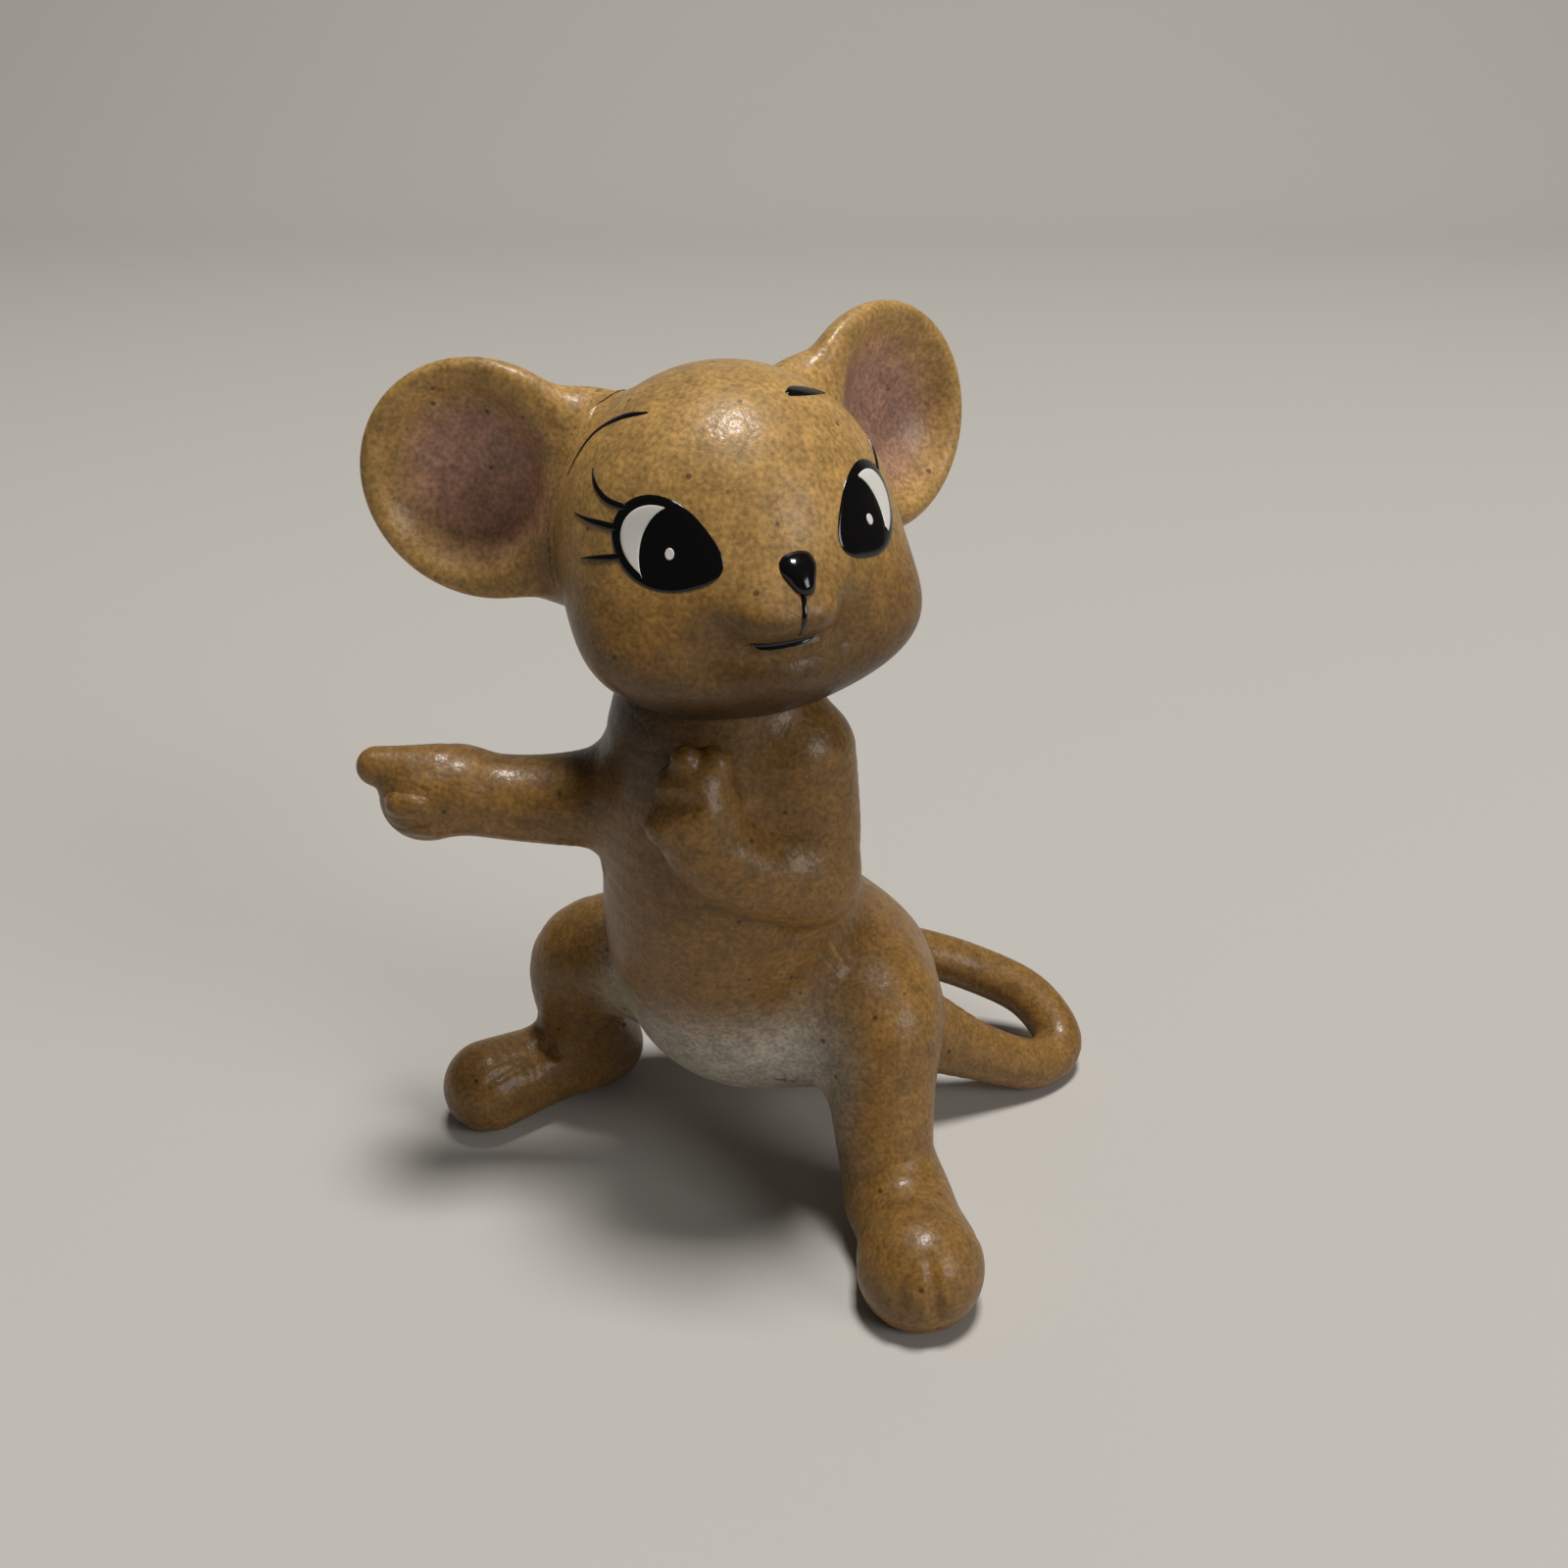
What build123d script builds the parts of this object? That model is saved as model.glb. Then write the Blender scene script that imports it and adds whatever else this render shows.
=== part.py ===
"""A miniature crouching mouse in hand-painted glazed ceramic, built from its separate clay pieces.

Lengths are in millimetres. +X is the mouse's left, +Y its back and +Z up. The origin lies on the
table under the middle of the figure.
"""
import math
import os

from build123d import *

os.makedirs("parts", exist_ok=True)

# Torso: a pear of clay that leans forward from the rump to the neck
TORSO_HEIGHT = 26.0
TORSO_WIDTH = 16.0
TORSO_DEPTH = 16.2
BELLY_HEIGHT = 4.6
RUMP_LEFT = 1.65
TORSO_LEAN = 5.6
TORSO_SWAY = 1.35
# height, lean, sway, width and depth of each level
TORSO_LEVEL_SHARES = [
    (0.0, 0.02, 0.0, 0.22, 0.2),
    (0.018, 0.02, 0.0, 0.58, 0.53),
    (0.07, 0.02, 0.0, 0.84, 0.79),
    (0.15, 0.04, 0.0, 0.96, 0.93),
    (0.25, 0.13, 0.12, 1.01, 1.02),
    (0.36, 0.33, 0.52, 0.94, 1.02),
    (0.48, 0.59, 0.86, 0.87, 0.92),
    (0.6, 0.81, 0.87, 0.82, 0.82),
    (0.71, 0.93, 0.78, 0.785, 0.755),
    (0.81, 0.99, 0.8, 0.755, 0.725),
    (0.89, 1.0, 0.79, 0.72, 0.69),
    (0.95, 1.0, 0.66, 0.68, 0.645),
    (1.0, 1.0, 0.41, 0.585, 0.575),
]

# Head: a ball with puffed cheeks, a short muzzle and a soft chin, turned to the mouse's left
HEAD_WIDTH = 16.1
HEAD_DEPTH = 15.8
HEAD_HEIGHT = 16.9
HEAD_TURN_ANGLE = 42.0
HEAD_TILT_ANGLE = 3.5
NECK_SINK = 1.55
HEAD_SET_BACK = 0.7
CHEEK_BULGE = 1.7
CHEEK_DROP = 3.5
CHEEK_SPREAD = 3.1
MUZZLE_BULGE = 1.35
MUZZLE_DROP = 0.3
MUZZLE_SPREAD = 2.1
CHIN_BULGE = 0.9
CHIN_DROP = 4.8
CHIN_SPREAD = 2.0
EYE_HOLLOW = 0.45
EYE_RISE = 2.5
EYE_HOLLOW_SPREAD = 2.0
CHEEK_ANGLE = 52.0
CHEEK_FAN_ANGLE = 30.0
MUZZLE_FAN_ANGLE = 19.0
CHIN_FAN_ANGLE = 40.0
EYE_ANGLE = 41.0
EYE_FAN_ANGLE = 20.0
HEAD_LEVEL_SHARES = [
    -0.997, -0.965, -0.87, -0.72, -0.55, -0.38, -0.2, 0.0, 0.22, 0.42, 0.6, 0.77, 0.9, 0.97, 0.998
]
HEAD_POINT_COUNT = 24
BULGE_FADE_SHARE = 1.6

# Ears: round cups pinched from discs of clay, with a root that flares onto the head
EAR_DIAMETER = 11.6
EAR_BACK_DEPTH = 2.9
EAR_RIM = 0.8
EAR_CUP_DIAMETER = 8.6
EAR_CUP_DEPTH = 1.7
EAR_CUP_SHIFT = 0.6
EAR_ROOT_SET = 1.2
# way from the ear's middle towards the head's, height and thickness of each section of the root
EAR_ROOT_SHARES = [
    (0.55, 1.12, 0.46),
    (0.42, 0.97, 0.37),
    (0.33, 0.9, 0.32),
    (0.24, 0.88, 0.28),
    (0.14, 0.8, 0.2),
]
EAR_OUT = 10.6
EAR_BEHIND = 5.7
EAR_RISE = 3.25
LEFT_EAR_FACING_ANGLE = 12.0
RIGHT_EAR_FACING_ANGLE = 21.0

# Arms: tapered rolls with mitten paws
SHOULDER_SPREAD = 3.7
SHOULDER_FRONT = 0.45
LEFT_SHOULDER_SHARE = 0.885
RIGHT_SHOULDER_SHARE = 0.77
UPPER_ARM_LENGTH = 5.9
UPPER_ARM_THICKNESS = 5.1
UPPER_ARM_ROUTE_SHARES = [(0.0, 0.0, 0.0, 1.22), (0.17, -0.08, -0.56, 1.02), (0.21, -0.17, -1.01, 0.96)]
FOREARM_LENGTH = 7.3
FOREARM_THICKNESS = 4.4
FOREARM_ROUTE_SHARES = [
    (0.0, 0.0, 0.0, 1.08),
    (-0.25, -0.34, 0.14, 1.02),
    (-0.46, -0.5, 0.38, 0.98),
    (-0.54, -0.54, 0.62, 0.94),
]
RIGHT_ARM_LENGTH = 10.7
RIGHT_ARM_THICKNESS = 4.3
RIGHT_ARM_ROUTE_SHARES = [
    (0.0, 0.0, 0.0, 1.55),
    (-0.28, -0.1, -0.04, 1.23),
    (-0.6, -0.23, -0.03, 1.02),
    (-0.9, -0.38, 0.0, 0.96),
    (-1.0, -0.45, -0.04, 1.06),
]
FINGER_THICKNESS = 2.2
POINTING_FINGER_LENGTH = 1.4
RAISED_FINGER_LENGTH = 2.6
CURLED_FINGER_LENGTH = 1.6
POINTING_RISE_SHARE = 0.24
# side, back, up, length and thickness of each raised finger of the left paw
RAISED_FINGER_SHARES = [
    (-0.12, 0.02, 0.0, 1.0, 1.0),
    (0.2, -0.04, -0.06, 0.9, 1.0),
    (-0.2, -0.2, -0.32, 0.3, 1.1),
]
# side, back, up and thickness of each curled finger of the right paw
CURLED_FINGER_SHARES = [(0.0, -0.28, 0.0, 1.0), (0.06, -0.2, -0.26, 1.0)]

# Legs: haunch, shin and a long flat foot in one roll each
LEG_THICKNESS = 5.2
LEFT_HAUNCH_RISE = 10.8
RIGHT_HAUNCH_RISE = 9.3
LEFT_STANCE_SIDE = 9.65
RIGHT_STANCE_SIDE = 12.0
LEFT_STANCE_FRONT = 7.2
RIGHT_STANCE_FRONT = 1.3
LEFT_HAUNCH_REACH = 7.3
RIGHT_HAUNCH_REACH = 5.4
LEFT_HAUNCH_LENGTH = 12.4
RIGHT_HAUNCH_LENGTH = 10.8
LEFT_HAUNCH_ANGLE = -121.0
RIGHT_HAUNCH_ANGLE = -11.5
# height, way from the ankle to the hip, length and thickness of each level
LEFT_LEG_LEVEL_SHARES = [
    (0.09, 0.0, 0.31, 0.73),
    (0.2, 0.0, 0.42, 1.0),
    (0.36, 0.15, 0.46, 1.04),
    (0.5, 0.58, 0.78, 1.24),
    (0.63, 0.82, 1.03, 1.48),
    (0.79, 0.94, 1.04, 1.64),
    (0.93, 0.97, 0.86, 1.36),
    (1.0, 0.98, 0.24, 0.4),
]
RIGHT_LEG_LEVEL_SHARES = [
    (0.1, 0.0, 0.35, 0.73),
    (0.25, 0.0, 0.48, 1.0),
    (0.4, 0.07, 0.6, 1.1),
    (0.55, 0.37, 0.95, 1.3),
    (0.73, 0.54, 1.07, 1.5),
    (0.91, 0.63, 0.87, 1.1),
    (1.0, 0.63, 0.2, 0.3),
]
LEFT_FOOT_WIDTH = 6.4
RIGHT_FOOT_WIDTH = 5.7
LEFT_FOOT_HEIGHT = 6.2
RIGHT_FOOT_HEIGHT = 5.6
SOLE_FLAT = 0.6
LEFT_FOOT_LENGTH = 11.0
RIGHT_FOOT_LENGTH = 13.0
LEFT_FOOT_ANGLE = 60.0
RIGHT_FOOT_ANGLE = 125.0
HEEL_SHARE = 0.275
# way along the foot, width and height of each cross section
FOOT_SECTION_SHARES = [
    (0.0, 0.12, 0.12),
    (0.025, 0.36, 0.36),
    (0.1, 0.66, 0.66),
    (0.22, 0.8, 0.82),
    (0.45, 0.9, 0.94),
    (0.68, 1.03, 1.0),
    (0.83, 1.0, 0.96),
    (0.94, 0.7, 0.7),
    (0.985, 0.36, 0.38),
    (1.0, 0.12, 0.12),
]

# Tail: a roll that leaves the rump, loops round on the table and ends on the rump again
TAIL_THICKNESS = 3.0
TAIL_SIDE = 11.5
TAIL_BACK = 10.9
TAIL_ROOT_LEFT = 2.9
TAIL_ROOT_BACK = 1.9
TAIL_ROOT_SHARE = 0.155
TAIL_REST_SHARE = 0.44
# side, back and drop of each station, and its thickness
TAIL_ROUTE_SHARES = [
    (0.0, 0.0, 0.0, 2.8),
    (0.32, 0.16, -0.3, 2.05),
    (0.67, 0.38, -0.7, 1.25),
    (0.93, 0.63, -1.0, 1.03),
    (1.0, 0.87, -0.95, 1.0),
    (0.8, 1.0, -0.7, 1.0),
    (0.46, 0.95, -0.47, 1.0),
    (0.16, 0.74, -0.22, 1.0),
    (-0.08, 0.45, 0.03, 0.95),
]

# Nose and enamel: raised paint on the head
NOSE_WIDTH = 1.5
NOSE_RISE = 1.3
ENAMEL = 0.15
EYE_WIDTH = 5.4
EYE_HEIGHT = 4.1
EYE_LEAN_ANGLE = 12.0
EYE_CORNER_SHARE = 0.62
PUPIL_SHARE = 0.66
PUPIL_SHIFT_SHARE = 0.14
EYE_RING_SHARE = 0.84
GLINT_DIAMETER = 0.55
GLINT_SHIFT_SHARE = 0.12
BROW_RISE = 6.7
BROW_ANGLE = 76.0
BROW_LEAN_ANGLE = 24.0
BROW_LENGTH = 4.6
BROW_WIDTH = 0.4
BROW_ARCH_SHARE = 0.2
LASH_LENGTH = 1.4
LASH_WIDTH = 0.3
LEFT_LASH_ANGLES = (62.0,)
RIGHT_LASH_ANGLES = (-12.0, 14.0, 40.0)
MOUTH_WIDTH = 3.6
MOUTH_DROP = 1.7
MOUTH_LINE = 0.34
MOUTH_SMILE_SHARE = 0.1

# End shapes: how a roll rounds off past its last station, as shares of its radius
CAP_SHARES = [(0.5, 0.866), (0.85, 0.527), (0.98, 0.2)]
RING_POINT_COUNT = 8
PAINT_REACH = 3.0
TABLE_REACH = 80.0

LEFT = 1
RIGHT = -1


def turned(angle):
    """Unit direction on the table at an angle from the mouse's left towards its front."""
    return Vector(math.cos(math.radians(angle)), -math.sin(math.radians(angle)), 0)


def bell(value):
    """Soft hill of height 1 that fades to nothing on both sides."""
    return math.exp(-value * value)


def ring(plane, width, depth):
    """Closed oval on a plane, width along the plane's x and depth along its y."""
    turns = [index * math.tau / RING_POINT_COUNT for index in range(RING_POINT_COUNT)]
    with BuildSketch(plane) as section:
        with BuildLine():
            Spline(*[(math.cos(a) * width / 2, math.sin(a) * depth / 2) for a in turns], periodic=True)
        make_face()
    return section.sketch


def route_points(anchor, sizes, route_shares):
    """Places of a route: shares of three reaches, counted from an anchor."""
    return [
        anchor + Vector(side * sizes[0], back * sizes[1], up * sizes[2])
        for side, back, up, _ in route_shares
    ]


def roll(points, radii, across):
    """Loft a clay roll through circles along a route that never runs along the direction across."""
    count = len(points)
    ways = []
    for index in range(count):
        before = points[max(index - 1, 0)]
        after = points[min(index + 1, count - 1)]
        ways.append((after - before).normalized())
    stations = list(zip(points, ways, radii))
    for out, wide in CAP_SHARES:
        stations.insert(0, (points[0] - ways[0] * radii[0] * out, ways[0], radii[0] * wide))
        stations.append((points[-1] + ways[-1] * radii[-1] * out, ways[-1], radii[-1] * wide))
    circles = []
    for point, way, radius in stations:
        with BuildSketch(Plane(origin=point, x_dir=across.cross(way), z_dir=way)) as section:
            Circle(radius)
        circles.append(section.sketch)
    loft(sections=circles)


def radii_of(thickness, route_shares):
    """Radius at each station of a route."""
    return [share * thickness / 2 for _, _, _, share in route_shares]


def head_radius(angle, height, grown):
    """Distance of the head's surface from its upright axis at an angle from the nose, at a height."""
    level = height / (HEAD_HEIGHT / 2 + grown)
    round_share = math.sqrt(max(1 - level * level, 0))
    turn = math.radians(angle)
    half_width = HEAD_WIDTH / 2 + grown
    half_depth = HEAD_DEPTH / 2 + grown
    radius = round_share / math.hypot(math.sin(turn) / half_width, math.cos(turn) / half_depth)
    fade = min(round_share * BULGE_FADE_SHARE, 1)
    hills = [(0, MUZZLE_FAN_ANGLE, -MUZZLE_DROP, MUZZLE_SPREAD, MUZZLE_BULGE)]
    hills.append((0, CHIN_FAN_ANGLE, -CHIN_DROP, CHIN_SPREAD, CHIN_BULGE))
    for side in (LEFT, RIGHT):
        hills.append((side * CHEEK_ANGLE, CHEEK_FAN_ANGLE, -CHEEK_DROP, CHEEK_SPREAD, CHEEK_BULGE))
        hills.append((side * EYE_ANGLE, EYE_FAN_ANGLE, EYE_RISE, EYE_HOLLOW_SPREAD, -EYE_HOLLOW))
    for at, fan, up, spread, bulge in hills:
        away = (angle - at + 180) % 360 - 180
        radius += bulge * fade * bell(away / fan) * bell((height - up) / spread)
    return radius


def head_point(angle, height, grown):
    """Point of the head's surface in the head's own frame: x to the nose, y to its left, z up."""
    radius = head_radius(angle, height, grown)
    turn = math.radians(angle)
    return (radius * math.cos(turn), radius * math.sin(turn))


def head_form(grown):
    """Loft of the whole head, grown outward by a coat."""
    top = HEAD_HEIGHT / 2 + grown
    levels = []
    for share in HEAD_LEVEL_SHARES:
        angles = [index * 360 / HEAD_POINT_COUNT for index in range(HEAD_POINT_COUNT)]
        with BuildSketch(head_plane.offset(share * top)) as level:
            with BuildLine():
                Spline(*[head_point(angle, share * top, grown) for angle in angles], periodic=True)
            make_face()
        levels.append(level.sketch)
    with BuildPart() as form:
        loft(sections=levels)
    return form.part


def face_plane(angle, height):
    """Plane that touches the head at a place on the face: x to its left, y up, z outward."""
    place = head_plane.from_local_coords((*head_point(angle, height, 0), height))
    way = place - head_centre
    return Plane(origin=place, x_dir=head_plane.z_dir.cross(way), z_dir=way)


# Places and directions that several pieces share
upright = Vector(0, 0, 1)
sidelong = Vector(1, 0, 0)
neck = Vector(
    RUMP_LEFT - TORSO_SWAY * TORSO_LEVEL_SHARES[-1][2],
    -TORSO_LEAN,
    BELLY_HEIGHT + TORSO_HEIGHT,
)
head_centre = neck + Vector(0, HEAD_SET_BACK, HEAD_HEIGHT / 2 - NECK_SINK)
forward = turned(90 - HEAD_TURN_ANGLE)
sideways = turned(-HEAD_TURN_ANGLE)
tilt = math.radians(HEAD_TILT_ANGLE)
upward = upright * math.cos(tilt) - sideways * math.sin(tilt)
head_plane = Plane(origin=head_centre, x_dir=forward, z_dir=upward)

# Head
head_solid = head_form(0)
with BuildPart() as head:
    add(head_solid)
coated_head = head_form(ENAMEL)

# Torso, dished at the top where the head sits
with BuildPart() as pear:
    levels = []
    for height, lean, sway, width, depth in TORSO_LEVEL_SHARES:
        centre = Vector(
            RUMP_LEFT - sway * TORSO_SWAY,
            -lean * TORSO_LEAN,
            BELLY_HEIGHT + height * TORSO_HEIGHT,
        )
        levels.append(ring(Plane(centre), width * TORSO_WIDTH, depth * TORSO_DEPTH))
    loft(sections=levels)
with BuildPart() as torso:
    add(pear.part)
    add(head_solid, mode=Mode.SUBTRACT)


def cap_radius(reach, depth):
    """Radius of the ball whose cap has a reach from its axis and a depth."""
    return (reach * reach + depth * depth) / (2 * depth)


def cap_arc(reach, depth):
    """Arc of a ball's cap, from the bottom of the cap out to its edge at height zero."""
    radius = cap_radius(reach, depth)
    return JernArc((0, -depth), (1, 0), radius, math.degrees(math.asin(reach / radius)))


# Ears
ears = {}
for side, facing in ((LEFT, LEFT_EAR_FACING_ANGLE), (RIGHT, RIGHT_EAR_FACING_ANGLE)):
    ear_centre = head_plane.from_local_coords((-EAR_BEHIND, side * EAR_OUT, EAR_RISE))
    out = (ear_centre - head_centre).normalized()
    look_local = (math.cos(math.radians(facing)), side * math.sin(math.radians(facing)), 0)
    look = head_plane.from_local_coords(look_local) - head_centre
    look = (look - out * look.dot(out)).normalized()
    inward = head_centre - ear_centre
    roots = []
    for along, high, thick in EAR_ROOT_SHARES:
        plane = Plane(origin=ear_centre + inward * along - look * EAR_ROOT_SET, x_dir=look, z_dir=out)
        roots.append(ring(plane, thick * EAR_DIAMETER, high * EAR_DIAMETER))
    cup_radius = cap_radius(EAR_CUP_DIAMETER / 2, EAR_CUP_DEPTH)
    with BuildPart() as ear:
        with BuildSketch(Plane(origin=ear_centre, x_dir=out, z_dir=out.cross(look))):
            with BuildLine():
                back = cap_arc(EAR_DIAMETER / 2, EAR_BACK_DEPTH)
                edge = EAR_DIAMETER / 2 - EAR_RIM
                ThreePointArc(back @ 1, (edge + EAR_RIM / 2, EAR_RIM / 2), (edge, 0))
                Polyline((edge, 0), (0, 0), back @ 0)
            make_face()
        revolve(axis=Axis(ear_centre, look))
        loft(sections=roots)
        with Locations(ear_centre + out * EAR_CUP_SHIFT + look * (cup_radius - EAR_CUP_DEPTH)):
            Sphere(cup_radius, mode=Mode.SUBTRACT)
        add(head_solid, mode=Mode.SUBTRACT)
    ears[side] = ear.part


def shoulder(side, height_share):
    """Root of an arm on the side of the chest."""
    rise = (height_share - 1) * TORSO_HEIGHT
    return neck + Vector(side * SHOULDER_SPREAD, -SHOULDER_FRONT, rise)


# Left arm, bent up before the chest
with BuildPart() as left_arm:
    root = shoulder(LEFT, LEFT_SHOULDER_SHARE)
    upper = route_points(root, [UPPER_ARM_LENGTH] * 3, UPPER_ARM_ROUTE_SHARES)
    roll(upper, radii_of(UPPER_ARM_THICKNESS, UPPER_ARM_ROUTE_SHARES), sidelong)
    lower = route_points(upper[-1], [FOREARM_LENGTH] * 3, FOREARM_ROUTE_SHARES)
    roll(lower, radii_of(FOREARM_THICKNESS, FOREARM_ROUTE_SHARES), sidelong)
    for out, back, up, length, thick in RAISED_FINGER_SHARES:
        base = lower[-1] + Vector(out, back, up) * FOREARM_THICKNESS
        tip = base + Vector(0, 0, length * RAISED_FINGER_LENGTH)
        roll([base, tip], [thick * FINGER_THICKNESS / 2] * 2, sidelong)
    add(pear.part, mode=Mode.SUBTRACT)
    add(head_solid, mode=Mode.SUBTRACT)

# Right arm, stretched out and pointing
with BuildPart() as right_arm:
    root = shoulder(RIGHT, RIGHT_SHOULDER_SHARE)
    route = route_points(root, [RIGHT_ARM_LENGTH] * 3, RIGHT_ARM_ROUTE_SHARES)
    roll(route, radii_of(RIGHT_ARM_THICKNESS, RIGHT_ARM_ROUTE_SHARES), upright)
    way = (route[-2] - route[-3]).normalized()
    base = route[-2] + Vector(0, 0, POINTING_RISE_SHARE * RIGHT_ARM_THICKNESS)
    tip = base + way * (POINTING_FINGER_LENGTH + RIGHT_ARM_THICKNESS / 2)
    roll([base, tip], [FINGER_THICKNESS / 2] * 2, upright)
    for out, back, up, thick in CURLED_FINGER_SHARES:
        base = route[-1] + Vector(out, back, up) * RIGHT_ARM_THICKNESS
        tip = base - way * CURLED_FINGER_LENGTH
        roll([base, tip], [thick * FINGER_THICKNESS / 2] * 2, upright)
    add(pear.part, mode=Mode.SUBTRACT)
    add(head_solid, mode=Mode.SUBTRACT)

# Legs
hips = Vector(RUMP_LEFT, 0, 0)


def cut_at_table():
    """Take away what lies under the table, which leaves a flat face to stand on."""
    with BuildSketch(Plane.XY) as table:
        Rectangle(TABLE_REACH, TABLE_REACH)
    extrude(table.sketch, amount=-TABLE_REACH, mode=Mode.SUBTRACT)


def leg(ankle, top, reach, length, haunch_angle, level_shares):
    """Loft haunch and shin through level ellipses, from the table to the top of the haunch."""
    way = turned(haunch_angle)
    levels = []
    for height, along, long_share, thick in level_shares:
        centre = ankle + way * reach * along + Vector(0, 0, top * height)
        plane = Plane(origin=centre, x_dir=way, z_dir=upright)
        levels.append(ring(plane, long_share * length, thick * LEG_THICKNESS))
    loft(sections=levels)


def foot(ankle, length, width, height, angle):
    """Loft a foot from heel to toes through upright ellipses that dip under the table."""
    way = turned(angle)
    heel = ankle - way * length * HEEL_SHARE + Vector(0, 0, height / 2 - SOLE_FLAT)
    side = way.cross(upright)
    sections = []
    for along, wide, high in FOOT_SECTION_SHARES:
        plane = Plane(origin=heel + way * length * along, x_dir=side, z_dir=way)
        sections.append(ring(plane, wide * width, high * height))
    loft(sections=sections)


with BuildPart() as left_leg:
    ankle = hips + Vector(LEFT_STANCE_SIDE, -LEFT_STANCE_FRONT, 0)
    top = BELLY_HEIGHT + LEFT_HAUNCH_RISE
    foot(ankle, LEFT_FOOT_LENGTH, LEFT_FOOT_WIDTH, LEFT_FOOT_HEIGHT, LEFT_FOOT_ANGLE)
    cut_at_table()
    leg(ankle, top, LEFT_HAUNCH_REACH, LEFT_HAUNCH_LENGTH, LEFT_HAUNCH_ANGLE, LEFT_LEG_LEVEL_SHARES)
    add(pear.part, mode=Mode.SUBTRACT)

with BuildPart() as right_leg:
    ankle = hips + Vector(-RIGHT_STANCE_SIDE, -RIGHT_STANCE_FRONT, 0)
    top = BELLY_HEIGHT + RIGHT_HAUNCH_RISE
    foot(ankle, RIGHT_FOOT_LENGTH, RIGHT_FOOT_WIDTH, RIGHT_FOOT_HEIGHT, RIGHT_FOOT_ANGLE)
    cut_at_table()
    leg(ankle, top, RIGHT_HAUNCH_REACH, RIGHT_HAUNCH_LENGTH, RIGHT_HAUNCH_ANGLE, RIGHT_LEG_LEVEL_SHARES)
    add(pear.part, mode=Mode.SUBTRACT)

# Tail
with BuildPart() as tail:
    root = hips + Vector(TAIL_ROOT_LEFT, TAIL_ROOT_BACK, BELLY_HEIGHT + TAIL_ROOT_SHARE * TORSO_HEIGHT)
    drop = root.Z - TAIL_REST_SHARE * TAIL_THICKNESS
    route = route_points(root, [TAIL_SIDE, TAIL_BACK, drop], TAIL_ROUTE_SHARES)
    roll(route, radii_of(TAIL_THICKNESS, TAIL_ROUTE_SHARES), upright)
    cut_at_table()
    add(pear.part, mode=Mode.SUBTRACT)
    add(left_leg.part, mode=Mode.SUBTRACT)

# Nose
with BuildPart() as nose:
    with Locations(face_plane(0, NOSE_RISE)):
        Sphere(NOSE_WIDTH / 2)
    add(head_solid, mode=Mode.SUBTRACT)


def painted(outline):
    """Patch of enamel coat on the head inside an outline."""
    with BuildPart() as patch:
        extrude(outline, amount=PAINT_REACH, both=True)
        add(coated_head, mode=Mode.INTERSECT)
        add(head_solid, mode=Mode.SUBTRACT)
    return patch.part


# Eyes and brows: black enamel with lashes round a white crescent, a pale glint and a thin brow
enamels = {}
eye_words = ((LEFT, "left", LEFT_LASH_ANGLES), (RIGHT, "right", RIGHT_LASH_ANGLES))
for side, word, lash_angles in eye_words:
    plane = face_plane(side * EYE_ANGLE, EYE_RISE)
    lean = side * EYE_LEAN_ANGLE
    inward = Vector(-side * EYE_WIDTH, 0).rotate(Axis.Z, lean)
    with BuildSketch(plane) as glint:
        with Locations(inward * GLINT_SHIFT_SHARE):
            Circle(GLINT_DIAMETER / 2)
    with BuildSketch(plane) as crescent:
        Ellipse(EYE_RING_SHARE * EYE_WIDTH / 2, EYE_RING_SHARE * EYE_HEIGHT / 2, rotation=lean)
        with Locations(inward * PUPIL_SHIFT_SHARE):
            Circle(PUPIL_SHARE * EYE_WIDTH / 2, mode=Mode.SUBTRACT)
    with BuildSketch(plane) as almond:
        Ellipse(EYE_WIDTH / 2, EYE_HEIGHT / 2, rotation=lean)
        with Locations(inward * EYE_CORNER_SHARE):
            Circle(LASH_WIDTH / 2)
        make_hull()
        for angle in lash_angles:
            start = Vector(side * EYE_WIDTH / 2, 0).rotate(Axis.Z, side * angle)
            with BuildLine():
                Line((0, 0), start + start.normalized() * LASH_LENGTH)
            trace(line_width=LASH_WIDTH)
        add(crescent.sketch_local, mode=Mode.SUBTRACT)
        add(glint.sketch_local, mode=Mode.SUBTRACT)
    with BuildSketch(face_plane(side * BROW_ANGLE, BROW_RISE)) as brow:
        with BuildLine():
            reach = Vector(BROW_LENGTH / 2, 0).rotate(Axis.Z, -side * BROW_LEAN_ANGLE)
            peak = Vector(0, BROW_ARCH_SHARE * BROW_LENGTH)
            ThreePointArc(-reach, peak, reach)
        trace(line_width=BROW_WIDTH)
    enamels[word + "_eye_black"] = painted(almond.sketch)
    enamels[word + "_eye_white"] = painted(crescent.sketch)
    enamels[word + "_eye_glint"] = painted(glint.sketch)
    enamels[word + "_brow"] = painted(brow.sketch)

# Mouth: one thin line under the nose, with the line that drops to it from the nose
with BuildSketch(face_plane(0, -MOUTH_DROP)) as mouth:
    with BuildLine():
        smile = MOUTH_SMILE_SHARE * MOUTH_WIDTH
        ThreePointArc((-MOUTH_WIDTH / 2, smile), (0, 0), (MOUTH_WIDTH / 2, smile))
        Line((0, 0), (0, MOUTH_DROP + NOSE_RISE - NOSE_WIDTH / 2))
    trace(line_width=MOUTH_LINE)
enamels["mouth_line"] = painted(mouth.sketch)

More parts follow.
